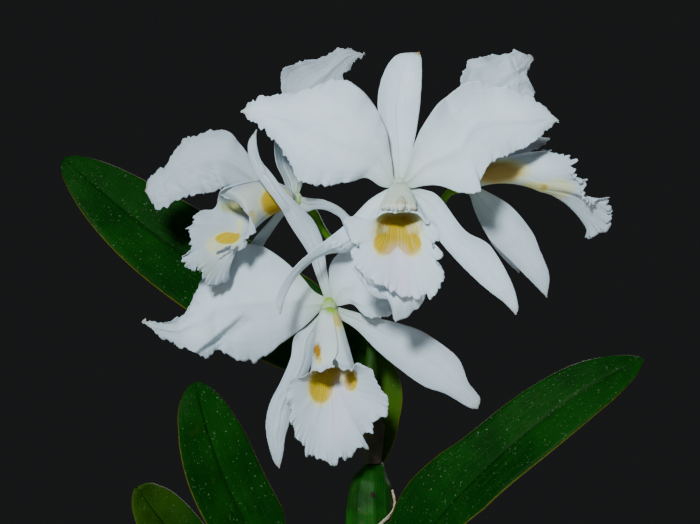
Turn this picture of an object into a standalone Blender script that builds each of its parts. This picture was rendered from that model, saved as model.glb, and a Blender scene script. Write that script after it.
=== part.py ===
"""A potted cattleya orchid with four white blooms, in metres with +Z up and its front towards -Y.

The origin is the centre of the pot's foot. Outlines are given in millimetres and scaled by MM.
"""

import math
import random

import bmesh
import bpy
from mathutils import Matrix, Vector

MM = 0.001
SEED = 11
GAP = 0.3

# Pot and bark
POT_HEIGHT = 122.0
POT_FOOT_RADIUS = 52.0
POT_RIM_RADIUS = 74.0
POT_WALL = 3.2
POT_FLOOR = 5.0
POT_SIDES = 36
DRAIN_COUNT = 6
DRAIN_RADIUS = 5.0
DRAIN_CIRCLE = 30.0
DRAIN_SIDES = 10
BARK_TOP = 112.0
CHIP_COUNT = 28
CHIP_LENGTH = 17.0

# Plant
RHIZOME_RADIUS = 5.0
BULB_SIDES = 12
TALL_TOP_RADIUS = 6.6
ROOT_RADIUS = 1.7
ROOT_DEPTH = 26.0
ROOT_HOLE_RADIUS = 3.0
PETAL_THICK = 0.9
SEPAL_THICK = 1.1
LIP_THICK = 0.9
LEAF_THICK = 2.0
LEAF_SETBACK = 3.2
STEM_RADIUS = 2.6
PEDICEL_RADIUS = 2.0
HUB_RADIUS = 4.6
NECK_LENGTH = 9.0
ROOT_SHARE = 0.35

# Where each bulb stands on the bark, where its top is, and its widest radius
BULBS = {
    "tall": ((12, 9), (13, 16, 274), 13.2),
    "right": ((6, -14), (19, -27, 206), 11.0),
    "front": ((-22, -9), (-31, -16, 196), 10.5),
    "small": ((-43, 8), (-58, 14, 190), 10.0),
}

# Each leaf: the bulb that carries it, its midrib, half width, and the way its face looks at foot and tip
LEAVES = {
    "leaf_left": ("tall", [(15, 30, 292), (11, 44, 314), (-16, 56, 334), (-64, 58, 366), (-114, 56, 401),
                           (-156, 54, 436)], 26.5, (0.1, -1, 0.15), (0.35, -0.9, 0.3)),
    "leaf_right": ("right", [(24, -32, 222), (44, -40, 251), (74, -46, 283), (110, -48, 312),
                             (145, -48, 332)], 20, (-0.5, -0.75, 0.6), (-0.35, -0.8, 0.6)),
    "leaf_front": ("front", [(-35, -24, 213), (-48, -34, 240), (-62, -42, 270), (-72, -46, 300),
                             (-77, -46, 320)], 19.5, (0.4, -1, 0.35), (0.2, -1, 0.45)),
    "leaf_small": ("small", [(-67, 16, 205), (-83, 14, 223), (-97, 8, 243), (-106, 2, 256),
                             (-110, -3, 263)], 17, (0.5, -1, 0.4), (0.2, -1, 0.6)),
}

# The green stems: the main stem, then each pedicel from its place on the stem to its bloom's back
STEM_PATH = [(12.5, 13.4, 274.3), (12, 13, 286), (10, 14, 300), (11, 24, 330), (14, 34, 356), (15, 38, 374)]
PEDICELS = {
    "bloom_top": [(15, 37, 370), (18, 36, 388), (23, 28, 405)],
    "bloom_low": [(13, 32, 350), (2, 34, 352), (-8, 28, 354)],
    "bloom_left": [(15, 37, 366), (2, 38, 380), (-12, 36, 394)],
    "bloom_right": [(15, 38, 372), (30, 45, 386), (44, 50, 402)],
}

# Each bloom: centre; neck, the way to its stem; blades; lip. A blade has its two edges from foot to tip,
# as (right, up, near), with near towards the viewer; then thickness, arch, waves and wave height.
BLOOMS = {
    "bloom_top": {
        "centre": (25.5, 0, 420.5),
        "neck": (-0.1, 0.9, -0.45),
        "blades": {
            "dorsal": ([(-3, 0, -1), (-6, 18, -1), (-10, 33, -2), (-11, 45, -5), (-8, 58, -9), (-1, 68, -13),
                        (11, 70, -16)],
                       [(3, 0, -1), (6, 14, -1), (9, 28, -2), (11, 42, -5), (12, 56, -9), (12, 66, -13),
                        (11, 70, -16)], "sepal", 0.10, 0, 0),
            "petal_left": ([(-3, 4, 2), (-4, 12, 3), (-7, 28, 4), (-14, 42, 5), (-23, 51, 5), (-31, 54, 4),
                            (-45, 50, 3), (-60, 46, 2), (-72, 45, 1), (-82, 38, -1)],
                           [(-5, -2, 1), (-10, -1, 1), (-17, 3, 3), (-25, 1, 5), (-36, -1, 6), (-46, -1, 6),
                            (-53, 3, 4), (-60, 15, 2), (-64, 22, 2), (-71, 28, 1), (-82, 38, -1)],
                           "petal", 0.08, 5, 1.6),
            "petal_right": ([(3, 4, 2), (7, 18, 3), (11, 28, 4), (19, 40, 5), (27, 47, 4), (36, 53, 3),
                             (47, 52, 2), (60, 48, 1), (73, 42, 0), (83, 33, -2)],
                            [(5, -2, 1), (8, -2, 1), (13, -1, 2), (21, -1, 4), (32, -5, 6), (41, -5, 7),
                             (42, 3, 6), (47, 10, 4), (60, 17, 2), (68, 20, 1), (77, 29, -1), (83, 33, -2)],
                            "petal", 0.08, 5, 1.6),
            "lateral_right": ([(5, -2, -1), (13, -3, -1), (21, -7, 0), (34, -24, 1), (47, -32, 1),
                               (58, -50, -1), (62, -63, -3), (61, -68, -4)],
                              [(2, -5, -1), (8, -11, -1), (17, -23, -1), (23, -32, -1), (34, -44, -1),
                               (46, -55, -2), (54, -61, -3), (61, -68, -4)], "sepal", 0.12, 0, 0),
            "lateral_left": ([(-5, -2, -1), (-15, -8, 0), (-23, -16, 2), (-29, -22, 6), (-39, -30, 12),
                              (-51, -40, 19), (-59, -50, 22), (-63, -60, 23), (-61, -67, 22)],
                             [(-2, -6, -1), (-8, -16, 1), (-16, -27, 2), (-26, -35, 2), (-35, -36, 4),
                              (-43, -39, 9), (-51, -46, 15), (-57, -55, 19), (-61, -67, 22)],
                             "sepal", 0.12, 0, 0),
        },
        "lip": {"foot": (0, -3, 2), "axis": (0, -0.5, 0.87), "tube": (26, 30), "radii": (4.3, 12.0),
                "brim": (9, 3), "fan_centre": (0, -43, 27), "fan": (23, 24), "face": (0, 0.1, 1),
                "recurve": 0.5},
    },
    "bloom_low": {
        "centre": (-11, 8, 358),
        "neck": (0.1, 0.95, -0.2),
        "blades": {
            "dorsal": ([(-2, 2, 0), (-8, 19, 3), (-11, 27, 6), (-20, 41, 11), (-25, 50, 14), (-33, 61, 17),
                        (-38, 69, 18), (-41, 77, 19), (-41, 84, 19), (-37, 90, 17)],
                       [(2, 3, 0), (-1, 17, 2), (-3, 32, 6), (-7, 42, 10), (-12, 48, 13), (-22, 58, 17),
                        (-29, 67, 19), (-35, 75, 21), (-37, 84, 21), (-37, 90, 17)], "sepal", 0.14, 0, 0),
            "petal_left": ([(-3, 4, 2), (-8, 7, 2), (-16, 16, 1), (-25, 24, -1), (-37, 31, -3), (-47, 30, -4),
                            (-58, 22, -5), (-66, 14, -5), (-71, 4, -3), (-76, -6, 0), (-86, -9, 4),
                            (-97, -9, 7)],
                           [(-5, -4, 1), (-12, -11, 1), (-20, -17, 0), (-29, -24, -1), (-39, -30, -3),
                            (-48, -29, -4), (-58, -24, -3), (-64, -28, 1), (-75, -23, 2), (-85, -19, 4),
                            (-97, -9, 7)], "petal", 0.08, 5, 1.8),
            "petal_right": ([(1, 4, 1), (0, 15, 2), (3, 24, 3), (13, 33, 4), (26, 36, 4), (39, 31, 0),
                             (49, 19, -8)],
                            [(5, -1, 1), (12, 0, 4), (18, -5, 7), (25, -7, 8), (34, -4, 6), (42, 5, 0),
                             (49, 19, -8)], "petal", 0.10, 3, 1.5),
            "lateral_right": ([(6, -2, -1), (20, -6, 0), (36, -10, 1), (48, -14, 2), (59, -21, 2),
                               (68, -29, 1), (73, -41, 0), (79, -49, -2), (78, -55, -3)],
                              [(3, -6, -1), (14, -13, 0), (25, -24, 1), (37, -34, 1), (50, -43, 0),
                               (61, -47, -1), (73, -54, -2), (78, -55, -3)], "sepal", 0.12, 0, 0),
            "lateral_left": ([(-4, -4, -1), (-10, -10, -1), (-18, -17, -1), (-20, -28, 0), (-25, -40, 1),
                              (-31, -52, 1), (-33, -62, 1), (-32, -72, 0), (-29, -82, -1), (-26, -86, -2)],
                             [(-1, -7, -2), (-6, -14, -3), (-9, -30, -4), (-13, -40, -4), (-19, -52, -3),
                              (-21, -63, -2), (-23, -70, -2), (-24, -78, -2), (-26, -86, -2)],
                             "sepal", 0.12, 0, 0),
        },
        "lip": {"foot": (1, -5, 3), "axis": (0.12, -0.84, 0.53), "tube": (31, 34), "radii": (4.3, 9.5),
                "brim": (4, 4), "fan_centre": (4.5, -58.5, 23), "fan": (26, 24), "face": (-0.05, 0.1, 1),
                "recurve": 0.4},
    },
    "bloom_left": {
        "centre": (-30, 20, 413.5),
        "neck": (0.75, 0.4, -0.5),
        "blades": {
            "dorsal": ([(-3, 3, -1), (-5, 10, 0), (-9, 19, 1), (-10, 31, 0), (-12, 43, -4), (-11, 52, -10)],
                       [(2, 5, -4), (2, 10, -7), (-1, 21, -10), (-4, 31, -12), (-7, 42, -13),
                        (-11, 52, -10)], "sepal", 0.10, 0, 0),
            "petal_left": ([(-3, 3, 1), (-16, 11, 2), (-22, 21, 3), (-29, 30, 3), (-34, 35, 3), (-42, 36, 2),
                            (-55, 32, 1), (-62, 26, 1), (-67, 18, 1), (-75, 12, 2), (-78, 4, 3)],
                           [(-3, -2, 1), (-15, 2, 1), (-29, 5, 2), (-38, 5, 4), (-50, 2, 6), (-61, -2, 6),
                            (-71, -6, 5), (-78, 4, 3)], "petal", 0.07, 5, 1.8),
            "petal_right": ([(0, 5, -3), (-2, 21, -10), (-5, 37, -12), (-6, 53, -12), (-6, 68, -11),
                             (2, 73, -10), (10, 74, -10), (19, 78, -12), (27, 81, -14), (38, 78, -18)],
                            [(3, 3, -3), (7, 15, -9), (14, 31, -13), (21, 47, -15), (25, 61, -15),
                             (28, 68, -15), (32, 74, -16), (38, 78, -18)], "petal", 0.08, 4, 1.6),
            "lateral_right": ([(3, 1, 0), (9, 0, 6), (16, -1, 14), (23, -4, 22), (28, -8, 29), (32, -13, 34),
                               (33, -20, 36), (32, -25, 36)],
                              [(2, -4, 0), (7, -7, 5), (11, -6, 11), (16, -6, 19), (21, -8, 27),
                               (25, -11, 32), (28, -18, 35), (32, -25, 36)], "sepal", 0.10, 0, 0),
            "lateral_left": ([(-5, -3, 1), (-10, -9, 4), (-15, -15, 6), (-22, -24, 6), (-28, -36, 4),
                              (-31, -46, 0)],
                             [(-2, -5, -3), (-7, -11, -6), (-12, -18, -8), (-18, -27, -8), (-25, -37, -6),
                              (-31, -46, 0)], "sepal", 0.10, 0, 0),
        },
        "lip": {"foot": (-2, -1, 3), "axis": (-0.8, -0.05, 0.6), "tube": (34, 34), "radii": (4.3, 11.0),
                "brim": (5, 8), "fan_centre": (-41, -23, 27), "fan": (18, 20), "face": (-0.45, 0.1, 0.88),
                "recurve": 0.5},
    },
    "bloom_right": {
        "centre": (63, 40, 424),
        "neck": (-0.75, 0.35, -0.55),
        "blades": {
            "dorsal": ([(-4, 3, -3), (-10, 14, -10), (-14, 28, -20), (-12, 38, -29), (-7, 46, -36)],
                       [(2, 5, -4), (2, 16, -12), (1, 28, -22), (-2, 38, -30), (-7, 46, -36)],
                       "sepal", 0.10, 0, 0),
            "petal_left": ([(-1, 5, -2), (-3, 22, -5), (-4, 38, -6), (-3, 54, -6), (-1, 62, -5), (7, 67, -4),
                            (18, 68, -4), (27, 70, -5), (36, 66, -8)],
                           [(3, 3, -2), (12, 16, -6), (23, 30, -8), (32, 39, -8), (37, 47, -6), (33, 56, -4),
                            (36, 66, -8)], "petal", 0.08, 5, 1.8),
            "petal_right": ([(4, 3, 1), (12, 15, -1), (22, 21, -3), (34, 24, -4), (45, 23, -6)],
                            [(4, 0, 2), (13, 5, 5), (24, 11, 6), (34, 15, 2), (45, 23, -6)],
                            "petal", 0.08, 3, 1.2),
            "lateral_right": ([(3, -3, -2), (12, -8, -9), (21, -17, -18), (28, -29, -27), (31, -41, -34),
                               (31, -50, -38)],
                              [(0, -5, -2), (4, -12, -11), (9, -23, -21), (16, -35, -30), (24, -44, -36),
                               (31, -50, -38)], "sepal", 0.12, 0, 0),
            "lateral_left": ([(4, -3, 1), (10, -6, 3), (23, -14, 4), (34, -27, 4), (39, -38, 3),
                              (44, -51, 1), (43, -63, -1)],
                             [(1, -5, 1), (2, -10, 2), (5, -19, 3), (12, -32, 4), (23, -43, 3),
                              (34, -54, 1), (43, -63, -1)], "sepal", 0.12, 0, 0),
        },
        "lip": {"foot": (3, -1, 3), "axis": (0.93, 0.12, 0.34), "tube": (40, 40), "radii": (4.3, 10.0),
                "brim": (6, 9), "fan_centre": (63, -11, 20), "fan": (18, 19), "face": (0.75, 0.25, 0.6),
                "recurve": 0.5},
    },
}

# Steps along and across each kind of blade
STEPS = {"sepal": (10, 4), "petal": (14, 6)}
LIP_STEPS = (3, 4, 22)
LEAF_STEPS = (16, 4)

# The lip: half the turn that its tube closes through, the fan's turn for each turn of the tube and its
# limit, and its ruffle
TUBE_OPENING = math.radians(172)
FAN_GAIN = 1.3
FAN_LIMIT = math.radians(150)
RUFFLE = 2.2

# Sheath
SHEATH_RADII = (3.7, 5.6)
SHEATH_HEIGHT = 30.0
SHEATH_TURN = math.radians(80)
SHEATH_THICK = 0.7


def clear_scene():
    for obj in list(bpy.data.objects):
        bpy.data.objects.remove(obj, do_unlink=True)


def material(name, colour, roughness, metallic=0.0):
    made = bpy.data.materials.new(name)
    made.use_nodes = True
    shader = made.node_tree.nodes["Principled BSDF"]
    shader.inputs["Base Color"].default_value = (*colour, 1)
    shader.inputs["Roughness"].default_value = roughness
    shader.inputs["Metallic"].default_value = metallic
    made.diffuse_color = (*colour, 1)
    return made


def spline(points, t):
    """The point at t, from 0 to 1 by chord length, on a smooth curve through the points."""
    points = [Vector(p) for p in points]
    lengths = [(b - a).length for a, b in zip(points, points[1:])]
    along = t * sum(lengths)
    last = len(lengths) - 1
    i = 0
    while i < last and along > lengths[i]:
        along -= lengths[i]
        i += 1
    s = min(1.0, along / lengths[i])
    here, there = points[i], points[i + 1]
    before = points[i - 1] if i else here * 2 - there
    after = points[i + 2] if i < last else there * 2 - here
    a = there - before
    b = before * 2 - here * 5 + there * 4 - after
    c = here * 3 - before - there * 3 + after
    return here + (a * s + b * s * s + c * s ** 3) / 2


def wave(edge, t, count):
    """A smooth uneven wave between -1 and 1 along an edge."""
    turn = 2 * math.pi * count * t
    return 0.65 * math.sin(turn + 1.7 * edge) + 0.35 * math.sin(1.7 * turn + 2.9 * edge + 0.8)


def grid_normals(rows):
    """The unit normal at each point of a grid of rows."""
    normals = []
    for i, row in enumerate(rows):
        line = []
        for j in range(len(row)):
            ahead = rows[min(i + 1, len(rows) - 1)][j] - rows[max(i - 1, 0)][j]
            aside = row[min(j + 1, len(row) - 1)] - row[max(j - 1, 0)]
            line.append(ahead.cross(aside).normalized())
        normals.append(line)
    return normals


def blade_rows(left, right, arch, waves, height, steps):
    """The middle surface of a petal or sepal between its two edges, without its tip."""
    along, across = steps
    left = [Vector(left[0]) * ROOT_SHARE] + left
    right = [Vector(right[0]) * ROOT_SHARE] + right
    rows = []
    for i in range(along):
        t = i / along
        a = spline(left, t)
        b = spline(right, t)
        out = (spline(left, min(1, t + 0.02)) + spline(right, min(1, t + 0.02))) / 2
        ahead = (out - (a + b) / 2).normalized()
        face = (b - a).cross(ahead).normalized()
        width = (b - a).length
        row = []
        for j in range(across + 1):
            s = j / across
            side = 2 * s - 1
            lift = arch * width * (1 - side * side) * math.sin(math.pi * min(1, 0.15 + t))
            ruffle = height * abs(side) ** 3 * wave(1 if side > 0 else 2, t, waves) * math.sin(math.pi * t)
            row.append(a.lerp(b, s) - face * (lift - ruffle))
        rows.append(row)
    return rows, spline(left, 1)


def thick_mesh(name, rows, thickness, tip=None):
    """A closed sheet of even thickness about a grid of points, split alike on both faces."""
    normals = grid_normals(rows)
    half = thickness / 2
    mesh = bmesh.new()
    faces = []
    for sign in (1, -1):
        layer = [[mesh.verts.new((p + n * half * sign) * MM) for p, n in zip(row, line)]
                 for row, line in zip(rows, normals)]
        if tip is not None:
            middle = len(rows[0]) // 2
            layer.append([mesh.verts.new((tip + normals[-1][middle] * half * sign) * MM)])
        faces.append(layer)
    top, under = faces
    for layer, turned in ((top, False), (under, True)):
        for near, far in zip(layer, layer[1:]):
            for j in range(len(near) - 1):
                if len(far) == 1:
                    corners = [(near[j], near[j + 1], far[0])]
                else:
                    corners = [(near[j], near[j + 1], far[j + 1]), (near[j], far[j + 1], far[j])]
                for face in corners:
                    mesh.faces.new(face[::-1] if turned else face)
    loop_top = rim(top)
    loop_under = rim(under)
    count = len(loop_top)
    for i in range(count):
        k = (i + 1) % count
        mesh.faces.new((loop_top[i], loop_under[i], loop_top[k]))
        mesh.faces.new((loop_top[k], loop_under[i], loop_under[k]))
    bmesh.ops.recalc_face_normals(mesh, faces=mesh.faces[:])
    data = bpy.data.meshes.new(name)
    mesh.to_mesh(data)
    mesh.free()
    return data


def rim(layer):
    """The border of a layer as one loop of vertices."""
    first, last = layer[0], layer[-1]
    loop = list(first)
    loop += [row[-1] for row in layer[1:-1]]
    loop += list(reversed(last))
    loop += [row[0] for row in reversed(layer[1:-1])]
    return loop


def tube_mesh(name, points, radii, sides, steps):
    """A closed round tube along a smooth curve, with flat ends."""
    mesh = bmesh.new()
    side = Vector((1, 0, 0.013))
    rings = []
    for i in range(steps + 1):
        t = i / steps
        here = spline(points, t)
        ahead = (spline(points, min(1, t + 0.01)) - spline(points, max(0, t - 0.01))).normalized()
        side = (side - ahead * side.dot(ahead)).normalized()
        up = ahead.cross(side)
        at = t * (len(radii) - 1)
        k = min(int(at), len(radii) - 2)
        radius = radii[k] + (radii[k + 1] - radii[k]) * (at - k)
        rings.append([mesh.verts.new((here + (side * math.cos(turn) + up * math.sin(turn)) * radius) * MM)
                      for turn in (2 * math.pi * j / sides for j in range(sides))])
    for near, far in zip(rings, rings[1:]):
        for j in range(sides):
            k = (j + 1) % sides
            mesh.faces.new((near[j], near[k], far[k], far[j]))
    mesh.faces.new(rings[0][::-1])
    mesh.faces.new(rings[-1])
    bmesh.ops.recalc_face_normals(mesh, faces=mesh.faces[:])
    data = bpy.data.meshes.new(name)
    mesh.to_mesh(data)
    mesh.free()
    return data


def add(name, data, look=None):
    obj = bpy.data.objects.new(name, data)
    bpy.context.scene.collection.objects.link(obj)
    if look:
        obj.data.materials.append(look)
    return obj


def apply_modifiers(obj):
    """Turns the object's modifiers into its own mesh."""
    graph = bpy.context.evaluated_depsgraph_get()
    looks = list(obj.data.materials)
    made = bpy.data.meshes.new_from_object(obj.evaluated_get(graph))
    obj.modifiers.clear()
    obj.data = made
    made.materials.clear()
    for look in looks:
        made.materials.append(look)


def join(name, pieces, look):
    """One body of all the pieces, by a Boolean union on a collection."""
    body = add(name, pieces[0].data, look)
    bpy.data.objects.remove(pieces[0])
    others = bpy.data.collections.new(name + "_others")
    bpy.context.scene.collection.children.link(others)
    for piece in pieces[1:]:
        bpy.context.scene.collection.objects.unlink(piece)
        others.objects.link(piece)
    union = body.modifiers.new("Union", "BOOLEAN")
    union.operation = "UNION"
    union.operand_type = "COLLECTION"
    union.collection = others
    union.solver = "EXACT"
    apply_modifiers(body)
    for piece in list(others.objects):
        bpy.data.objects.remove(piece)
    bpy.data.collections.remove(others)
    keep_largest_shell(body.data)
    return body


def keep_largest_shell(data):
    """Drops loose scraps, and fills hollows that the union has sealed."""
    mesh = bmesh.new()
    mesh.from_mesh(data)
    left = set(mesh.faces)
    shells = []
    while left:
        shell = []
        queue = [left.pop()]
        while queue:
            face = queue.pop()
            shell.append(face)
            for edge in face.edges:
                if len(edge.link_faces) != 2:
                    continue
                for other in edge.link_faces:
                    if other in left:
                        left.remove(other)
                        queue.append(other)
        shells.append(shell)
    shells.sort(key=len)
    for shell in shells[:-1]:
        uses = {}
        for face in shell:
            for edge in face.edges:
                uses[edge] = uses.get(edge, 0) + 1
        if set(uses.values()) == {2}:
            bmesh.ops.delete(mesh, geom=shell, context="FACES")
    mesh.to_mesh(data)
    mesh.free()


def cut(body, cutter):
    """Cuts the hidden cutter out of the body."""
    taken = body.modifiers.new("Cut", "BOOLEAN")
    taken.operation = "DIFFERENCE"
    taken.object = cutter
    taken.solver = "EXACT"
    apply_modifiers(body)
    bpy.data.objects.remove(cutter)


def shade(obj, degrees=40):
    obj.data.shade_smooth()
    obj.data.set_sharp_from_angle(angle=math.radians(degrees))


def lip_rows(lip):
    """The lip's middle surface: a tube that opens into a broad waved fan below its mouth."""
    foot = Vector(lip["foot"])
    axis = Vector(lip["axis"]).normalized()
    down = Vector((0, -1, 0))
    down = (down - axis * down.dot(axis)).normalized()
    right = down.cross(axis)
    face = Vector(lip["face"]).normalized()
    fan_down = Vector((0, -1, 0))
    fan_down = (fan_down - face * fan_down.dot(face)).normalized()
    fan_right = fan_down.cross(face)
    tube_top, tube_bottom = lip["tube"]
    start, mouth = lip["radii"]
    wide, tall = lip["fan"]
    tube_steps, fan_steps, around = LIP_STEPS
    columns = []
    for j in range(around + 1):
        turn = TUBE_OPENING * (2 * j / around - 1)
        low_part = (1 + math.cos(turn)) / 2
        out = down * math.cos(turn) + right * math.sin(turn)
        length = tube_top + (tube_bottom - tube_top) * low_part
        column = []
        for i in range(tube_steps + 1):
            v = i / tube_steps
            radius = start + (mouth - start) * v ** 0.8
            column.append(foot + axis * length * v + out * radius)
        here = column[-1].copy()
        brim = lip["brim"][0] if turn < 0 else lip["brim"][1]
        brim = here + (out * 0.8 + axis * 0.6) * brim * (1 - 0.6 * max(0, -math.cos(turn)))
        swing = max(-FAN_LIMIT, min(FAN_LIMIT, turn * FAN_GAIN))
        edge = Vector(lip["fan_centre"]) + fan_down * tall * math.cos(swing) + fan_right * wide * math.sin(swing)
        share = min(1, max(0, (math.cos(turn) + 0.35) / 0.55))
        share = share * share * (3 - 2 * share)
        end = brim.lerp(edge, share)
        outward = (end - Vector(lip["fan_centre"])).normalized().lerp(out, 1 - share)
        reach = (end - here).length
        first = here + axis * reach * 0.45
        second = end - (outward - face * lip["recurve"] * share) * reach * 0.35
        for i in range(1, fan_steps + 1):
            w = i / fan_steps
            point = (here * (1 - w) ** 3 + first * 3 * w * (1 - w) ** 2 + second * 3 * w * w * (1 - w)
                     + end * w ** 3)
            ruffle = RUFFLE * w * w * math.sin(9.5 * turn + 1.1 * math.sin(3 * turn))
            column.append(point + (face * share + axis * (1 - share)) * ruffle)
        columns.append(column)
    return [list(row) for row in zip(*columns)]


def place(rows, centre):
    """Rows given as (right, up, near) from a bloom's centre, in the plant's own axes."""
    centre = Vector(centre)
    return [[centre + Vector((p[0], -p[2], p[1])) for p in row] for row in rows]


def bloom(name, spec, look):
    pieces = []
    centre = spec["centre"]
    back = Vector(spec["neck"]).normalized()
    middle = Vector(centre)
    neck = [middle - back * 3, middle, middle + back * NECK_LENGTH / 2, middle + back * NECK_LENGTH]
    pieces.append(add("hub", tube_mesh("hub", neck, (2.5, HUB_RADIUS, 3.2, PEDICEL_RADIUS + 0.4), 10, 6)))
    for blade, (left, right, kind, arch, waves, height) in spec["blades"].items():
        rows, tip = blade_rows(left, right, arch, waves, height, STEPS[kind])
        tip = place([[tip]], centre)[0][0]
        thick = PETAL_THICK if kind == "petal" else SEPAL_THICK
        pieces.append(add(blade, thick_mesh(blade, place(rows, centre), thick, tip)))
    pieces.append(add("lip", thick_mesh("lip", place(lip_rows(spec["lip"]), centre), LIP_THICK)))
    foot = Vector(spec["lip"]["foot"])
    axis = Vector(spec["lip"]["axis"]).normalized()
    column = place([[foot - axis * 3, foot + axis * 8, foot + axis * 18]], centre)[0]
    pieces.append(add("column", tube_mesh("column", column, (4.5, 3.2, 3.6, 2.0), 8, 6)))
    body = join(name, pieces, look)
    shade(body)
    return body


def leaf_half_width(t):
    """How wide a strap leaf is along its length, as a share of its widest."""
    foot = 0.2 + 0.8 * min(1, t / 0.42) ** 0.9
    tip = max(0, 1 - max(0, (t - 0.55) / 0.45) ** 2.4) ** 0.6
    return foot * tip


def leaf(name, spec, look):
    bulb, midrib, half, face_foot, face_tip = spec
    top = Vector(BULBS[bulb][1])
    root = top + Vector((0, LEAF_SETBACK if bulb == "tall" else 0, GAP))
    points = [root] + [Vector(p) for p in midrib]
    along, across = LEAF_STEPS
    rows = []
    for i in range(along + 1):
        t = i / along
        here = spline(points, t)
        ahead = (spline(points, min(1, t + 0.02)) - spline(points, max(0, t - 0.02))).normalized()
        face = Vector(face_foot).lerp(Vector(face_tip), t)
        face = (face - ahead * face.dot(ahead)).normalized()
        side = ahead.cross(face)
        width = half * leaf_half_width(t)
        fold = 0.34 * (1 - t) ** 1.5 + 0.10
        row = []
        for j in range(across + 1):
            s = 2 * j / across - 1
            ripple = 0.8 * abs(s) * wave(1 if s > 0 else 2, t, 2.2)
            row.append(here + side * s * width + face * (fold * width * abs(s) ** 1.4 + ripple * t))
        rows.append(row)
    rows[0] = [Vector((p[0], p[1], root[2] + LEAF_THICK / 2)) for p in rows[0]]
    body = add(name, thick_mesh(name, rows, LEAF_THICK), look)
    shade(body, 50)
    return body


def bulbs_body(look):
    """The creeping stem, its bulbs and its thick roots, grown together."""
    level = BARK_TOP + RHIZOME_RADIUS + GAP
    feet = [BULBS[key][0] for key in ("small", "front", "right", "tall")]
    route = [(feet[0][0] - 8, feet[0][1] + 3, level)] + [(x, y, level) for x, y in feet]
    route.append((feet[-1][0] + 7, feet[-1][1] + 5, level))
    pieces = [add("rhizome", tube_mesh("rhizome", route, (4.0, 5.0, 4.6, 5.0, 4.6, 5.0, 3.6), 8, 14))]
    for key, (foot, top, widest) in BULBS.items():
        low = Vector((foot[0], foot[1], level))
        high = Vector(top)
        lean = Vector((foot[0], foot[1], level + (top[2] - level) * 0.4))
        neck = high - (high - lean) * 0.25
        profile = (4.2, 4.6, 0.55 * widest, 0.8 * widest, widest, 0.97 * widest, 0.62 * widest)
        if key == "tall":
            profile = profile[:-1] + (TALL_TOP_RADIUS,)
        pieces.append(add(key, tube_mesh(key, [low, lean, neck, high], profile, BULB_SIDES, 9)))
        flatten_top(pieces[-1].data, top[2])
    for i, (x, y) in enumerate(root_places()):
        start = nearest_on(route, x, y)
        points = [start, ((start[0] + x) / 2, (start[1] + y) / 2, level + 2), (x, y, BARK_TOP + 2),
                  (x, y, BARK_TOP - 9), (x, y, BARK_TOP - ROOT_DEPTH)]
        pieces.append(add(f"root_{i}", tube_mesh("root", points, (ROOT_RADIUS, ROOT_RADIUS), 5, 7)))
    body = join("bulbs", pieces, look)
    shade(body)
    return body


def flatten_top(data, height):
    """Levels the last ring of a bulb, where leaf and stem sit."""
    ring = list(data.vertices)[-BULB_SIDES:]
    for vertex in ring:
        vertex.co.z = height * MM


def root_places():
    """Where each root enters the bark."""
    return [(-52, -8), (-34, 22), (-12, -26), (-8, 12), (20, -24), (30, 20), (34, -4)]


def nearest_on(route, x, y):
    samples = [spline(route, i / 40) for i in range(41)]
    return min(samples, key=lambda p: (p[0] - x) ** 2 + (p[1] - y) ** 2)


def stems(look):
    pieces = [add("stem", tube_mesh("stem", STEM_PATH, (STEM_RADIUS, STEM_RADIUS, 2.2), 8, 9))]
    for name, route in PEDICELS.items():
        spec = BLOOMS[name]
        back = Vector(spec["neck"]).normalized()
        end = Vector(spec["centre"]) + back * (NECK_LENGTH + GAP)
        before = end + back * 5
        points = [Vector(p) for p in route] + [before, end]
        pieces.append(add(name, tube_mesh(name, points, (PEDICEL_RADIUS, 1.9, PEDICEL_RADIUS), 8, 8)))
    body = join("flower_stem", pieces, look)
    shade(body)
    return body


def sheath(look):
    """The dry papery sheath that stands round the front of the flower stem's foot."""
    x, y, z = STEM_PATH[0]
    rows = []
    inner, outer = SHEATH_RADII
    for i in range(6):
        t = i / 5
        radius = inner + (outer - inner) * t
        row = []
        for j in range(5):
            side = j / 2 - 1
            turn = SHEATH_TURN * side
            height = SHEATH_HEIGHT * t * (1 - 0.35 * abs(side))
            row.append(Vector((x + radius * math.sin(turn), y - radius * math.cos(turn), z + height)))
        rows.append(row)
    body = add("sheath_dry", thick_mesh("sheath_dry", rows, SHEATH_THICK), look)
    shade(body)
    return body


def pot(look):
    """The turned pot: foot, flared wall, rolled rim, and drain holes round the middle of its floor."""
    foot, rim_radius, wall = POT_FOOT_RADIUS, POT_RIM_RADIUS, POT_WALL
    profile = [(0, 0), (foot, 0), (foot + 1.5, 2), (rim_radius - 5, POT_HEIGHT - 16),
               (rim_radius - 0.5, POT_HEIGHT - 14), (rim_radius, POT_HEIGHT - 2), (rim_radius - 1.5, POT_HEIGHT),
               (rim_radius - 4, POT_HEIGHT), (rim_radius - 5.5, POT_HEIGHT - 3), (foot - wall + 1.5, POT_FLOOR + 2),
               (foot - wall - 0.5, POT_FLOOR), (0, POT_FLOOR)]
    body = add("pot", turned_mesh("pot", profile, POT_SIDES), look)
    for i in range(DRAIN_COUNT):
        turn = 2 * math.pi * (i + 0.5) / DRAIN_COUNT
        spot = (DRAIN_CIRCLE * math.cos(turn), DRAIN_CIRCLE * math.sin(turn))
        cut(body, drill(spot, DRAIN_RADIUS, -5, POT_FLOOR + 5, DRAIN_SIDES))
    shade(body)
    return body


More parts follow.
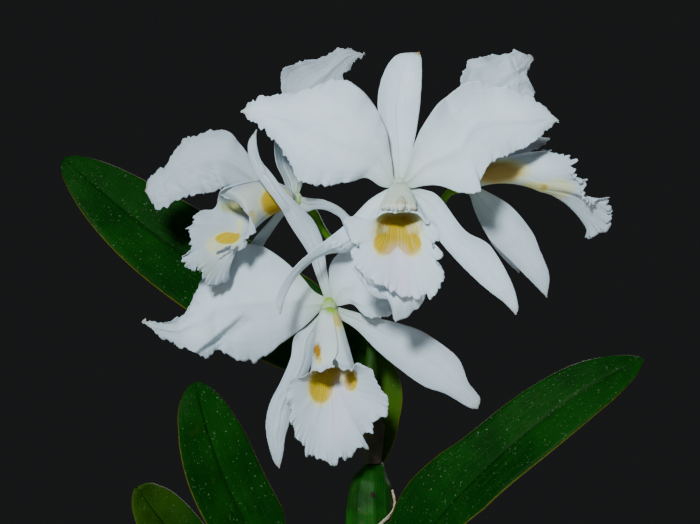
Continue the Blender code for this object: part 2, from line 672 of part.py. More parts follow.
def turned_mesh(name, profile, sides):
    """A solid of revolution about Z from a profile of (radius, height) whose ends are on the axis."""
    mesh = bmesh.new()
    rings = []
    for radius, height in profile:
        if radius == 0:
            rings.append([mesh.verts.new((0, 0, height * MM))])
            continue
        rings.append([mesh.verts.new((radius * math.cos(turn) * MM, radius * math.sin(turn) * MM, height * MM))
                      for turn in (2 * math.pi * j / sides for j in range(sides))])
    for near, far in zip(rings, rings[1:]):
        for j in range(sides):
            k = (j + 1) % sides
            ring = [near[j % len(near)], near[k % len(near)], far[k % len(far)], far[j % len(far)]]
            mesh.faces.new(list(dict.fromkeys(ring)))
    bmesh.ops.recalc_face_normals(mesh, faces=mesh.faces[:])
    data = bpy.data.meshes.new(name)
    mesh.to_mesh(data)
    mesh.free()
    return data


def drill(spot, radius, low, high, sides):
    """A hidden upright cylinder to cut a hole with."""
    profile = [(0, low), (radius, low), (radius, high), (0, high)]
    cutter = add("drill", turned_mesh("drill", profile, sides))
    cutter.data.transform(Matrix.Translation((spot[0] * MM, spot[1] * MM, 0)))
    cutter.hide_render = True
    cutter.display_type = "WIRE"
    return cutter


def chip_mesh(rng):
    """A flat irregular piece of bark."""
    mesh = bmesh.new()
    bmesh.ops.create_cube(mesh, size=1)
    size = Vector((CHIP_LENGTH * rng.uniform(0.7, 1.2), CHIP_LENGTH * rng.uniform(0.4, 0.7), rng.uniform(4, 7)))
    for vertex in mesh.verts:
        jitter = Vector([rng.uniform(-0.14, 0.14) for _ in range(3)])
        vertex.co = Vector([(v + w) * s * MM for v, w, s in zip(vertex.co, jitter, size)])
    bmesh.ops.triangulate(mesh, faces=mesh.faces[:])
    data = bpy.data.meshes.new("chip")
    mesh.to_mesh(data)
    mesh.free()
    return data


def clear_of_plant(x, y, reach):
    """Whether a chip here stays off the rhizome, the bulbs and the roots."""
    feet = [BULBS[key][0] for key in ("small", "front", "right", "tall")]
    route = [(*foot, 0) for foot in feet]
    near = nearest_on(route, x, y)
    if math.hypot(near[0] - x, near[1] - y) < reach + 7:
        return False
    return all(math.hypot(a - x, b - y) > reach + 2.5 for a, b in root_places())


def bark(look):
    """The potting bark: a filling with loose chips on it, and plain holes for the roots."""
    top_radius = POT_RIM_RADIUS - 5.5 - GAP - (POT_HEIGHT - 3 - BARK_TOP) * 0.17
    low_radius = POT_FOOT_RADIUS - POT_WALL - 0.5 - GAP
    profile = [(0, POT_FLOOR + GAP), (low_radius - 1, POT_FLOOR + GAP), (top_radius - 1.2, BARK_TOP),
               (0, BARK_TOP)]
    pieces = [add("filling", turned_mesh("filling", profile, POT_SIDES))]
    rng = random.Random(SEED)
    tries = 0
    while len(pieces) <= CHIP_COUNT and tries < 4000:
        tries += 1
        radius = (top_radius - 11) * math.sqrt(rng.random())
        turn = rng.uniform(0, 2 * math.pi)
        x, y = radius * math.cos(turn), radius * math.sin(turn)
        if not clear_of_plant(x, y, 10):
            continue
        chip = add(f"chip_{tries}", chip_mesh(rng))
        spin = Matrix.Rotation(rng.uniform(0, math.pi), 4, "Z")
        tilt = Matrix.Rotation(math.radians(rng.uniform(-16, 16)), 4, "X")
        chip.data.transform(Matrix.Translation((x * MM, y * MM, (BARK_TOP + 0.4) * MM)) @ spin @ tilt)
        pieces.append(chip)
    body = join("bark", pieces, look)
    for spot in root_places():
        cut(body, drill(spot, ROOT_HOLE_RADIUS, BARK_TOP - ROOT_DEPTH - 1, BARK_TOP + 20, 10))
    shade(body, 30)
    return body


def main():
    clear_scene()
    petal = material("petal_white", (0.83, 0.85, 0.86), 0.55)
    green = material("leaf_green", (0.03, 0.14, 0.02), 0.4)
    stalk = material("stalk_green", (0.16, 0.30, 0.04), 0.5)
    bulb = material("bulb_green", (0.10, 0.20, 0.04), 0.45)
    paper = material("dry_sheath", (0.55, 0.46, 0.30), 0.8)
    clay = material("pot_clay", (0.52, 0.21, 0.11), 0.75)
    mulch = material("bark_brown", (0.16, 0.08, 0.04), 0.9)
    for name, spec in BLOOMS.items():
        bloom(name, spec, petal)
    for name, spec in LEAVES.items():
        leaf(name, spec, green)
    stems(stalk)
    bulbs_body(bulb)
    sheath(paper)
    pot(clay)
    bark(mulch)


main()
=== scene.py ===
"""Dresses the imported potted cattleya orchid: fine blooms, leaves, bulbs, bark and pot, in metres.

Tables are in millimetres and scaled by MM. A bloom's own axes are (right, up, near), with near towards -Y.
"""

import math
import random

import bmesh
import bpy
import numpy as np
from mathutils import Matrix, Vector, noise


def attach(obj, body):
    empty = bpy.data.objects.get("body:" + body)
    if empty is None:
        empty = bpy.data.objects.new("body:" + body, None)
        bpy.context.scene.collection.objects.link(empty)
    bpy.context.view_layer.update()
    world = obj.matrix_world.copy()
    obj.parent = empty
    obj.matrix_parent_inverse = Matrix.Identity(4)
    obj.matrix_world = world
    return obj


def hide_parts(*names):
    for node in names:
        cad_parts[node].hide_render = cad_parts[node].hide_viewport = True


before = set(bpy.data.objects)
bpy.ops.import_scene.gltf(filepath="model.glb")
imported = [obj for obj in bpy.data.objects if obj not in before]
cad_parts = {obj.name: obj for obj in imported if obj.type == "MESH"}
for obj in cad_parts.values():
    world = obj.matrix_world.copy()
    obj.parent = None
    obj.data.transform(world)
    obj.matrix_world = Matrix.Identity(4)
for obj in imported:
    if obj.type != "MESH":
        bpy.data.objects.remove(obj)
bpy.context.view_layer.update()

MM = 0.001
SEED = 11
GAP = 0.3
BODY = "root"

# Where each bulb stands on the bark, where its top is, and its widest radius
BULBS = {
    "tall": ((12, 9), (13, 16, 274), 13.2),
    "right": ((6, -14), (19, -27, 206), 11.0),
    "front": ((-22, -9), (-31, -16, 196), 10.5),
    "small": ((-43, 8), (-58, 14, 190), 10.0),
}

# Each leaf: the bulb that carries it, its midrib, half width, and the way its face looks at foot and tip
LEAVES = {
    "leaf_left": ("tall", [(15, 30, 292), (11, 44, 314), (-16, 56, 334), (-64, 58, 366), (-114, 56, 401),
        (-156, 54, 436)], 26.5, (0.1, -1, 0.15), (0.35, -0.9, 0.3)),
    "leaf_right": ("right", [(24, -32, 222), (44, -40, 251), (74, -46, 283), (110, -48, 312),
        (145, -48, 332)], 20, (-0.5, -0.75, 0.6), (-0.35, -0.8, 0.6)),
    "leaf_front": ("front", [(-35, -24, 213), (-48, -34, 240), (-62, -42, 270), (-72, -46, 300),
        (-77, -46, 320)], 19.5, (0.4, -1, 0.35), (0.2, -1, 0.45)),
    "leaf_small": ("small", [(-67, 16, 205), (-83, 14, 223), (-97, 8, 243), (-106, 2, 256),
        (-110, -3, 263)], 17, (0.5, -1, 0.4), (0.2, -1, 0.6)),
}

# The green stems: the main stem, then each pedicel from its place on the stem towards its bloom's back
STEM_PATH = [(12.5, 13.4, 274.3), (12, 13, 286), (10, 14, 300), (11, 24, 330), (14, 34, 356), (15, 38, 374)]
PEDICELS = {
    "bloom_top": [(15, 37, 370), (18, 36, 388), (23, 28, 405)],
    "bloom_low": [(13, 32, 350), (2, 34, 352), (-8, 28, 354)],
    "bloom_left": [(15, 37, 366), (2, 38, 380), (-12, 36, 394)],
    "bloom_right": [(15, 38, 372), (30, 45, 386), (44, 50, 402)],
}

# Each bloom: its centre, its neck's way to the stem, and its blades. A blade has its left and right edges
# from foot to tip in the bloom's own axes, then its kind, arch, number of waves and wave height.
BLOOMS = {
    "bloom_top": {
        "centre": (25.5, 0, 420.5),
        "neck": (-0.1, 0.9, -0.45),
        "blades": {
            "dorsal": (
                [(-3, 0, -1), (-6, 18, -1), (-10, 33, -2), (-11, 45, -5), (-8, 58, -9), (-1, 68, -13),
                 (11, 70, -16)],
                [(3, 0, -1), (6, 14, -1), (9, 28, -2), (11, 42, -5), (12, 56, -9), (12, 66, -13),
                 (11, 70, -16)], "sepal", 0.1, 0, 0),
            "petal_left": (
                [(-3, 4, 2), (-4, 12, 3), (-7, 28, 4), (-14, 42, 5), (-23, 51, 5), (-31, 54, 4),
                 (-45, 50, 3), (-60, 46, 2), (-72, 45, 1), (-82, 38, -1)],
                [(-5, -2, 1), (-10, -1, 1), (-17, 3, 3), (-25, 1, 5), (-36, -1, 6), (-46, -1, 6),
                 (-53, 3, 4), (-60, 15, 2), (-64, 22, 2), (-71, 28, 1),
                 (-82, 38, -1)], "petal", 0.08, 5, 1.6),
            "petal_right": (
                [(3, 4, 2), (7, 18, 3), (11, 28, 4), (19, 40, 5), (27, 47, 4), (36, 53, 3), (47, 52, 2),
                 (60, 48, 1), (73, 42, 0), (83, 33, -2)],
                [(5, -2, 1), (8, -2, 1), (13, -1, 2), (21, -1, 4), (32, -5, 6), (41, -5, 7), (42, 3, 6),
                 (47, 10, 4), (60, 17, 2), (68, 20, 1), (77, 29, -1), (83, 33, -2)], "petal", 0.08, 5, 1.6),
            "lateral_right": (
                [(5, -2, -1), (13, -3, -1), (21, -7, 0), (34, -24, 1), (47, -32, 1), (58, -50, -1),
                 (62, -63, -3), (61, -68, -4)],
                [(2, -5, -1), (8, -11, -1), (17, -23, -1), (23, -32, -1), (34, -44, -1), (46, -55, -2),
                 (54, -61, -3), (61, -68, -4)], "sepal", 0.12, 0, 0),
            "lateral_left": (
                [(-5, -2, -1), (-15, -8, 0), (-23, -16, 2), (-29, -22, 6), (-39, -30, 12), (-51, -40, 19),
                 (-59, -50, 22), (-63, -60, 23), (-61, -67, 22)],
                [(-2, -6, -1), (-8, -16, 1), (-16, -27, 2), (-26, -35, 2), (-35, -36, 4), (-43, -39, 9),
                 (-51, -46, 15), (-57, -55, 19), (-61, -67, 22)], "sepal", 0.12, 0, 0),
        },
    },
    "bloom_low": {
        "centre": (-11, 8, 358),
        "neck": (0.1, 0.95, -0.2),
        "blades": {
            "dorsal": (
                [(-2, 2, 0), (-8, 19, 3), (-11, 27, 6), (-20, 41, 11), (-25, 50, 14), (-33, 61, 17),
                 (-38, 69, 18), (-41, 77, 19), (-41, 84, 19), (-37, 90, 17)],
                [(2, 3, 0), (-1, 17, 2), (-3, 32, 6), (-7, 42, 10), (-12, 48, 13), (-22, 58, 17),
                 (-29, 67, 19), (-35, 75, 21), (-37, 84, 21), (-37, 90, 17)], "sepal", 0.14, 0, 0),
            "petal_left": (
                [(-3, 4, 2), (-8, 7, 2), (-16, 16, 1), (-25, 24, -1), (-37, 31, -3), (-47, 30, -4),
                 (-58, 22, -5), (-66, 14, -5), (-71, 4, -3), (-76, -6, 0), (-86, -9, 4), (-97, -9, 7)],
                [(-5, -4, 1), (-12, -11, 1), (-20, -17, 0), (-29, -24, -1), (-39, -30, -3), (-48, -29, -4),
                 (-58, -24, -3), (-64, -28, 1), (-75, -23, 2), (-85, -19, 4),
                 (-97, -9, 7)], "petal", 0.08, 5, 1.8),
            "petal_right": (
                [(1, 4, 1), (0, 15, 2), (3, 24, 3), (13, 33, 4), (26, 36, 4), (39, 31, 0), (49, 19, -8)],
                [(5, -1, 1), (12, 0, 4), (18, -5, 7), (25, -7, 8), (34, -4, 6), (42, 5, 0),
                 (49, 19, -8)], "petal", 0.1, 3, 1.5),
            "lateral_right": (
                [(6, -2, -1), (20, -6, 0), (36, -10, 1), (48, -14, 2), (59, -21, 2), (68, -29, 1),
                 (73, -41, 0), (79, -49, -2), (78, -55, -3)],
                [(3, -6, -1), (14, -13, 0), (25, -24, 1), (37, -34, 1), (50, -43, 0), (61, -47, -1),
                 (73, -54, -2), (78, -55, -3)], "sepal", 0.12, 0, 0),
            "lateral_left": (
                [(-4, -4, -1), (-10, -10, -1), (-18, -17, -1), (-20, -28, 0), (-25, -40, 1), (-31, -52, 1),
                 (-33, -62, 1), (-32, -72, 0), (-29, -82, -1), (-26, -86, -2)],
                [(-1, -7, -2), (-6, -14, -3), (-9, -30, -4), (-13, -40, -4), (-19, -52, -3), (-21, -63, -2),
                 (-23, -70, -2), (-24, -78, -2), (-26, -86, -2)], "sepal", 0.12, 0, 0),
        },
    },
    "bloom_left": {
        "centre": (-30, 20, 413.5),
        "neck": (0.75, 0.4, -0.5),
        "blades": {
            "dorsal": (
                [(-3, 3, -1), (-5, 10, 0), (-9, 19, 1), (-10, 31, 0), (-12, 43, -4), (-11, 52, -10)],
                [(2, 5, -4), (2, 10, -7), (-1, 21, -10), (-4, 31, -12), (-7, 42, -13),
                 (-11, 52, -10)], "sepal", 0.1, 0, 0),
            "petal_left": (
                [(-3, 3, 1), (-16, 11, 2), (-22, 21, 3), (-29, 30, 3), (-34, 35, 3), (-42, 36, 2),
                 (-55, 32, 1), (-62, 26, 1), (-67, 18, 1), (-75, 12, 2), (-78, 4, 3)],
                [(-3, -2, 1), (-15, 2, 1), (-29, 5, 2), (-38, 5, 4), (-50, 2, 6), (-61, -2, 6),
                 (-71, -6, 5), (-78, 4, 3)], "petal", 0.07, 5, 1.8),
            "petal_right": (
                [(0, 5, -3), (-2, 21, -10), (-5, 37, -12), (-6, 53, -12), (-6, 68, -11), (2, 73, -10),
                 (10, 74, -10), (19, 78, -12), (27, 81, -14), (38, 78, -18)],
                [(3, 3, -3), (7, 15, -9), (14, 31, -13), (21, 47, -15), (25, 61, -15), (28, 68, -15),
                 (32, 74, -16), (38, 78, -18)], "petal", 0.08, 4, 1.6),
            "lateral_right": (
                [(3, 1, 0), (9, 0, 6), (16, -1, 14), (23, -4, 22), (28, -8, 29), (32, -13, 34),
                 (33, -20, 36), (32, -25, 36)],
                [(2, -4, 0), (7, -7, 5), (11, -6, 11), (16, -6, 19), (21, -8, 27), (25, -11, 32),
                 (28, -18, 35), (32, -25, 36)], "sepal", 0.1, 0, 0),
            "lateral_left": (
                [(-5, -3, 1), (-10, -9, 4), (-15, -15, 6), (-22, -24, 6), (-28, -36, 4), (-31, -46, 0)],
                [(-2, -5, -3), (-7, -11, -6), (-12, -18, -8), (-18, -27, -8), (-25, -37, -6),
                 (-31, -46, 0)], "sepal", 0.1, 0, 0),
        },
    },
    "bloom_right": {
        "centre": (63, 40, 424),
        "neck": (-0.75, 0.35, -0.55),
        "blades": {
            "dorsal": (
                [(-4, 3, -3), (-10, 14, -10), (-14, 28, -20), (-12, 38, -29), (-7, 46, -36)],
                [(2, 5, -4), (2, 16, -12), (1, 28, -22), (-2, 38, -30), (-7, 46, -36)], "sepal", 0.1, 0, 0),
            "petal_left": (
                [(-1, 5, -2), (-3, 22, -5), (-4, 38, -6), (-3, 54, -6), (-1, 62, -5), (7, 67, -4),
                 (18, 68, -4), (27, 70, -5), (36, 66, -8)],
                [(3, 3, -2), (12, 16, -6), (23, 30, -8), (32, 39, -8), (37, 47, -6), (33, 56, -4),
                 (36, 66, -8)], "petal", 0.08, 5, 1.8),
            "petal_right": (
                [(4, 3, 1), (12, 15, -1), (22, 21, -3), (34, 24, -4), (45, 23, -6)],
                [(4, 0, 2), (13, 5, 5), (24, 11, 6), (34, 15, 2), (45, 23, -6)], "petal", 0.08, 3, 1.2),
            "lateral_right": (
                [(3, -3, -2), (12, -8, -9), (21, -17, -18), (28, -29, -27), (31, -41, -34), (31, -50, -38)],
                [(0, -5, -2), (4, -12, -11), (9, -23, -21), (16, -35, -30), (24, -44, -36),
                 (31, -50, -38)], "sepal", 0.12, 0, 0),
            "lateral_left": (
                [(4, -3, 1), (10, -6, 3), (23, -14, 4), (34, -27, 4), (39, -38, 3), (44, -51, 1),
                 (43, -63, -1)],
                [(1, -5, 1), (2, -10, 2), (5, -19, 3), (12, -32, 4), (23, -43, 3), (34, -54, 1),
                 (43, -63, -1)], "sepal", 0.12, 0, 0),
        },
    },
}

# Each lip: the middle line of its tube, its radii at foot and mouth, and the share of its height that its
# top keeps. Its foot closes by the lap, in degrees each way, and it widens by a power, the swell. The frill
# is how much the margin curls, and the beat how often, in millimetres. The fan turns to its face. The
# margin's points are (degrees round the tube from its underside, right, up, near).
LIPS = {
    "bloom_top": {
        "line": [(0, -3, 2), (0, -10.5, 15), (0, -18, 28)], "radii": (4.3, 12.0), "top": 0.33, "lap": 172,
        "swell": 0.8, "frill": 1.0, "beat": 5.5, "face": (0, 0.1, 1),
        "margin": [(-172, 0.2, -15.3, 31), (-150, 3.8, -14.8, 30), (-128, 6.8, -14.7, 29),
            (-112, 9.3, -16.8, 30), (-101, 12.8, -21.4, 33), (-91, 16.3, -19.9, 33), (-81, 18.8, -23.9, 32),
            (-72, 18.8, -29.4, 33), (-66, 15.2, -32, 36), (-60, 18.8, -33, 34), (-54, 21.3, -37.5, 33),
            (-49, 17.6, -40.5, 37), (-44, 20.3, -42.5, 34), (-38, 21.8, -47.5, 34), (-32, 19.7, -53.1, 35),
            (-26, 14.6, -59.1, 37), (-22, 13.2, -56.6, 36), (-18, 10.1, -58.1, 37), (-14, 6.6, -59.1, 36),
            (-9, 3.6, -57.1, 37), (-4, 0.1, -57.1, 36), (1, -2.9, -55.5, 37), (6, -5.4, -55.5, 37),
            (11, -7.4, -53, 37), (17, -10, -52.5, 38), (24, -12.5, -51.5, 38), (31, -15.5, -50, 38),
            (41, -20, -46, 37), (46, -22.5, -43, 36), (51, -24.5, -39, 35), (56, -25, -34.5, 34),
            (60, -21.5, -32, 37), (65, -24.5, -29.9, 35), (72, -26.5, -24.9, 35), (80, -27.5, -19.9, 35),
            (88, -24, -17.4, 34), (97, -19.5, -18.9, 33), (110, -17.4, -22.8, 31), (122, -12.9, -18.8, 30),
            (135, -8.8, -14.7, 29), (150, -5.3, -15.3, 30), (172, -0.8, -15.3, 31)]},
    "bloom_low": {
        "line": [(0, -4, 3), (1.2, -19, 12), (2.5, -33.6, 21)], "radii": (4.3, 11.0), "top": 0.85,
        "lap": 192, "swell": 0.8, "frill": 0.9, "beat": 5.0, "face": (-0.05, 0.1, 1),
        "margin": [(-172, 4.9, -30.7, 33), (-150, 7.4, -33.3, 33), (-132, 10, -32.3, 32),
            (-118, 12, -33.3, 32), (-108, 13.5, -29.9, 29), (-100, 16.1, -29.5, 28), (-92, 19.2, -31.5, 28),
            (-84, 22.2, -33, 28), (-76, 23.2, -36.5, 29), (-68, 25.7, -41.1, 30), (-60, 27.3, -43.6, 31),
            (-53, 29.8, -46.2, 30), (-46, 30.3, -50.8, 29), (-40, 29.3, -55.9, 29), (-34, 25.3, -57.5, 28),
            (-28, 23.2, -60.5, 29), (-24, 22.7, -64.1, 28), (-20, 17.1, -66.4, 25), (-17, 20.7, -73.8, 22),
            (-14, 15.6, -73, 25), (-10, 11, -77.8, 23), (-6, 8.4, -79.7, 25), (-3, 6.4, -77, 26),
            (2, 3.3, -82.4, 23), (8, -1.3, -80.2, 25), (14, -5.9, -78.3, 23), (20, -11.5, -76.6, 25),
            (26, -12.5, -72.1, 24), (32, -16.5, -68.8, 27), (38, -17.6, -63.8, 26), (45, -19.5, -57.9, 29),
            (52, -19.1, -53.5, 27), (58, -20.5, -49.2, 30), (64, -21.1, -45.3, 28), (72, -20.5, -40.1, 30),
            (80, -17.5, -37.1, 29), (90, -12.9, -36.5, 30), (100, -9.9, -34.5, 30), (112, -7.8, -32.9, 31),
            (128, -4.2, -33.8, 32), (140, -1.7, -32.8, 33), (155, 0.9, -31.3, 33), (172, 3.4, -30.7, 33)]},
    "bloom_left": {
        "line": [(-2, -1, 3), (-14, 3, 12), (-28, -7, 22)], "radii": (4.3, 13.0), "top": 1.0, "lap": 190,
        "swell": 0.8, "frill": 1.6, "beat": 4.6, "face": (-0.5, -0.1, 0.86),
        "margin": [(-172, -37, 1.8, 20), (-155, -34.1, -1, 25), (-135, -28.6, -2.1, 30),
            (-117, -24.4, -6.8, 33), (-101, -21.2, -11, 34), (-92, -18.7, -15.1, 34),
            (-85, -18.2, -18.6, 33), (-79, -21.2, -19.7, 34), (-74, -22.9, -21.7, 32),
            (-68, -24.9, -21.7, 33), (-62, -23.4, -24.8, 31), (-56, -26, -27.3, 32),
            (-50, -28.1, -25.3, 30), (-45, -30.1, -27.3, 31), (-39, -32.3, -25.8, 29),
            (-34, -35.8, -26.8, 31), (-29, -39.8, -29.9, 32), (-24, -32.5, -28.3, 25),
            (-18, -32.7, -35.6, 22), (-12, -33.3, -42.8, 20), (-8, -37.3, -44.4, 23),
            (-4, -41.5, -44.9, 22), (0, -44.9, -43.3, 25), (5, -46.4, -39.7, 26), (10, -48.3, -37.1, 28),
            (15, -49.9, -34.5, 27), (20, -51.1, -39.2, 25), (25, -54.6, -35.6, 27), (31, -56.4, -30.9, 24),
            (38, -53.2, -28.9, 25), (45, -52.4, -24.2, 22), (52, -54.1, -17.9, 20), (60, -52.8, -14.2, 16),
            (70, -50.4, -9.5, 14), (80, -46.9, -6.3, 11), (90, -42.7, -6.3, 11), (102, -40.2, -5.2, 10),
            (118, -39, -2.7, 12), (135, -38.9, -0.6, 14), (152, -38.2, 0.8, 17), (172, -37.5, 1.8, 19)]},
    "bloom_right": {
        "line": [(3, 0, 3), (21, 7.6, 9.8), (40, 3.8, 16.6)], "radii": (4.3, 10.5), "top": 1.0, "lap": 190,
        "swell": 1.45, "frill": 2.4, "beat": 4.2, "face": (0.85, 0.4, 0.2),
        "margin": [(-172, 39.2, 14.5, 12), (-150, 43.5, 13.8, 6), (-120, 49.8, 10.8, 2),
            (-90, 54.3, 2.8, 0), (-62, 59.7, -8.5, -1), (-42, 67.2, -13.9, 0), (-26, 71.4, -17.1, 1),
            (-12, 70, -24.7, 3), (-4, 66.5, -29, 6), (0, 61.9, -30.1, 9), (4, 65.4, -30.7, 11),
            (8, 68.8, -27.5, 14), (12, 73.4, -26, 15), (17, 73.6, -21.8, 18), (22, 75, -18.6, 19),
            (27, 72, -15, 22), (32, 72, -10.8, 22), (38, 67.5, -12.4, 25), (44, 63.8, -14.5, 25),
            (50, 61.3, -11.5, 28), (56, 59.2, -9.4, 28), (62, 60.6, -4.7, 30), (69, 60.5, -0.6, 31),
            (76, 57.2, -2.2, 32), (84, 53.5, 1.4, 33), (92, 53.5, 6.1, 33), (101, 54.4, 8.7, 34),
            (112, 51.1, 10.9, 31), (126, 46.7, 12.7, 28), (142, 42.9, 14, 23), (158, 40.8, 15.3, 18),
            (172, 38.5, 15.5, 14)]},
}

# The part of the top lip that is turned under, between a hidden line and its free margin
UNDER_FOLD = (
    [(-22.5, -42.5, 33), (-17.9, -48.1, 32), (-15.4, -52.1, 31), (-11.4, -54.1, 30), (-6.8, -54.1, 30),
     (-2.3, -53.6, 31), (2.7, -53.1, 32), (7.7, -53.6, 33), (11.7, -55.1, 35)],
    [(-25, -44, 32), (-22, -47.6, 31), (-18.9, -51.6, 30), (-15.4, -56.2, 29), (-10.8, -58.7, 28),
     (-6.3, -59.7, 28), (-4.2, -64.3, 27), (-2.7, -70.4, 26), (0.9, -68.9, 26), (3.4, -68.3, 27),
     (6.4, -65.3, 28), (8.8, -64.2, 30), (10.8, -60.7, 32), (12.2, -57.6, 34)],
)

# Creases in the blades, in the bloom's own axes: from (right, up) to (right, up), width, height, crumple.
# The steep side of each is on its right as it runs.
CREASES = {
    "bloom_low_petal_left": [(-72.6, -27.7, -46.5, -6.2, 5, 3.8, 0.4), (-69.5, 1.1, -80, -7.3, 5, 2, 0.8),
        (-80, -7.3, -93.6, -9.9, 5, 1.8, 0.8), (-59.6, -25, -41.3, -9.4, 8, -2.4, 0),
        (-64.3, -24, -52.8, -15.6, 4, -1.4, 0)],
    "bloom_left_petal_left": [(-34.5, 7.2, -50.3, 5.6, 7, 2.8, 2.4), (-50.3, 5.6, -58.2, 1.4, 7, 2.6, 2.2),
        (-58.2, 1.4, -76.7, -0.2, 8, 1.6, 1.4)],
    "bloom_right_petal_left": [(23.6, 66.8, 27.4, 58.2, 6, 3.6, 0.9), (27.4, 58.2, 26.3, 43.1, 6, 3.6, 0.9),
        (3.7, 61.4, 5.8, 51.7, 4, 1.4, 0.3)],
    "bloom_low_petal_right": [(12, 2.1, 24.6, -4.1, 6, 1.6, 0.3)],
    "bloom_top_lateral_left": [(-41.1, -31.2, -25.5, -40.5, 2, 2.2, 0.6),
        (-40, -29.6, -25.5, -37.4, 1.8, 2.0, 0.5), (-38, -28, -25.5, -34.3, 1.8, 1.8, 0.5)],
    "bloom_low_dorsal": [(-21.5, 50, -33, 68, 3, 2.4, 0), (-33, 68, -37.5, 82, 2.5, 2.4, 0)],
}

# Coloured patches on the lips: the share to add (0 yellow, 1 lilac, 2 green, 3 ochre), the middle (right,
# up), half width, half height and strength. Some ochre and green patches are painted shade, as marked.
INSIDE = {
    "bloom_top": [(0, -1.6, -25.5, 12.2, 10.4, 1.0), (0, -8.6, -32.6, 5.8, 5.6, 0.8),
        (0, 5.6, -32.8, 5.8, 5.6, 0.8), (0, -1.6, -37, 3.0, 4.0, -0.6), (0, -8.8, -24.4, 2.6, 3.2, -0.2),
        # The ochre at the top of the throat is partly its own colour and partly painted shade under the
        # tube's mouth
        (0, 6.0, -24.0, 2.6, 3.2, -0.2), (3, -8.4, -18.8, 4.0, 2.4, 0.4), (3, 4.8, -18.6, 4.4, 2.6, 0.5),
        (3, -1.8, -17.0, 9, 2.0, 0.25), (1, -1.6, -44.5, 8, 13, 0.34)],
    "bloom_low": [(0, -4.0, -42.3, 7.0, 9.4, 1.0), (0, 11.3, -39.6, 3.9, 5.4, 1.0),
        # The ochre at the top of the throat is partly its own colour and partly painted shade under the
        # tube's mouth
        (0, 3.2, -36.5, 4, 4.4, 0.9), (3, 1.4, -34, 6.4, 2.5, 0.75), (3, 11, -34.8, 4, 2.1, 0.65),
        (3, -6.8, -36, 4.6, 1.6, 0.5), (1, 6.2, -53, 6, 16, 0.36)],
    "bloom_left": [(2, -44, -36, 5, 5, 0.16), (0, -36, -24, 9, 9, 0.12), (0, -33.2, -21.3, 6.6, 3.3, 1.0),
        # The yellow, green and ochre patches near (-30, -5) make an olive band: a painted shadow under the
        # near side lobe's margin
        (0, -27.6, -15, 1.6, 5.4, 0.5), (0, -30, -5, 8, 3.6, 0.3), (2, -30, -4.8, 8, 3.2, 0.35),
        (3, -29.4, -4.2, 7, 2.4, 0.35), (0, -40, -24.7, 5, 4.4, 0.25)],
    "bloom_right": [(0, 46, -5, 7, 5, 0.9), (0, 30, 2, 12, 8, 0.9)],
}
OUTSIDE = {
    "bloom_top": [(0, 0, -6, 9, 8, 0.08)],
    # The strong ochre patch near (-5.6, -23.4) is painted shade standing for a slit in the closed tube
    "bloom_low": [(0, 5.0, -6, 3.2, 7, 0.7), (3, -5.6, -23.4, 2.0, 3.4, 1.0),
        (0, -4.6, -27.4, 1.8, 3.2, 0.8), (2, 1.3, 0.5, 4.4, 6, 1.0), (0, 0, -14, 9, 16, 0.1)],
    "bloom_left": [(0, -9, -2.6, 7.6, 8, 0.95), (3, -8.9, -6.2, 5, 2.0, 0.55),
        (3, -20.2, -8.6, 2.1, 1.6, 0.4), (0, -20.2, -11, 2.8, 3.2, 0.5), (0, -16, 0, 12, 8, 0.16)],
    "bloom_right": [(0, 46.5, -5.5, 8, 5.4, 0.42), (0, 34, -4.2, 7, 3.0, 0.65), (0, 16, 4, 16, 6.8, 0.6),
        # The ochre over the tube's root is partly its own colour and partly a painted shadow of the top
        # bloom's petal
        (3, 13, 4, 15, 5.4, 0.8)],
}

# Each column: its middle line, its radii from foot to tip, and how flat it is
COLUMNS = {
    "bloom_top": ([(0, -1, 0), (0, -0.4, 5), (0, -1.6, 11.6), (-0.2, -5.2, 18.2), (-0.6, -9.4, 24.6),
        (-1, -13.6, 30.6)], (3.0, 2.7, 3.9, 5.5, 7.3, 8.9, 9.2), 0.28),
    "bloom_low": ([(0, -1, 0), (0, -4, 4), (0.6, -10, 8), (1.2, -16, 12)], (4.2, 3.8, 3.2, 3.2, 1.4), 1.0),
    "bloom_left": ([(-1, -1, 1), (-3, -0.5, 4), (-8, 0.5, 8), (-13, 0.5, 12)], (4.2, 3.8, 3.2, 3.2, 1.4),
        1.0),
    "bloom_right": ([(1, 0, 1), (4, 0.6, 4), (11, 2.4, 7), (18, 4, 9.5)], (4.2, 3.8, 3.0, 3.0, 1.4), 1.0),
}


# Fine steps along and across each kind of blade and a leaf, and the lip's steps: tube, fan, around
STEPS = {"sepal": (84, 22), "petal": (144, 44)}
LIP_STEPS = (12, 34, 400)
LEAF_STEPS = (120, 36)


def unit(v):
    """Vectors scaled to length one."""
    v = np.asarray(v, float)
    return v / np.maximum(np.linalg.norm(v, axis=-1, keepdims=True), 1e-12)


def spline(p, i, s):
    """The points at shares s of the spans i of a smooth curve through the points p."""
    q = np.vstack([2 * p[0] - p[1], p, 2 * p[-1] - p[-2]])
    before, here, there, after = q[i], q[i + 1], q[i + 2], q[i + 3]
    a = there - before
    b = before * 2 - here * 5 + there * 4 - after
    c = here * 3 - before - there * 3 + after
    s = s[..., None]
    return here + (a * s + b * s * s + c * s ** 3) / 2


def curve(points, ts):
    """The points at ts, from 0 to 1 by chord length, on a smooth curve through the points."""
    p = np.asarray(points, float)
    lengths = np.linalg.norm(np.diff(p, axis=0), axis=1)
    ends = np.concatenate([[0], np.cumsum(lengths)])
    along = np.clip(ts, 0, 1) * ends[-1]
    i = np.clip(np.searchsorted(ends, along) - 1, 0, len(lengths) - 1)
    return spline(p, i, ((along - ends[i]) / lengths[i]).clip(0, 1))


def through(points, index):
    """The points at fractional indices on a smooth curve through the points."""
    p = np.asarray(points, float)
    i = np.clip(np.floor(index).astype(int), 0, len(p) - 2)
    return spline(p, i, index - i)


def spread_over(values, ts):
    """Evenly spaced values read at ts, from 0 to 1."""
    return np.interp(ts * (len(values) - 1), range(len(values)), values)


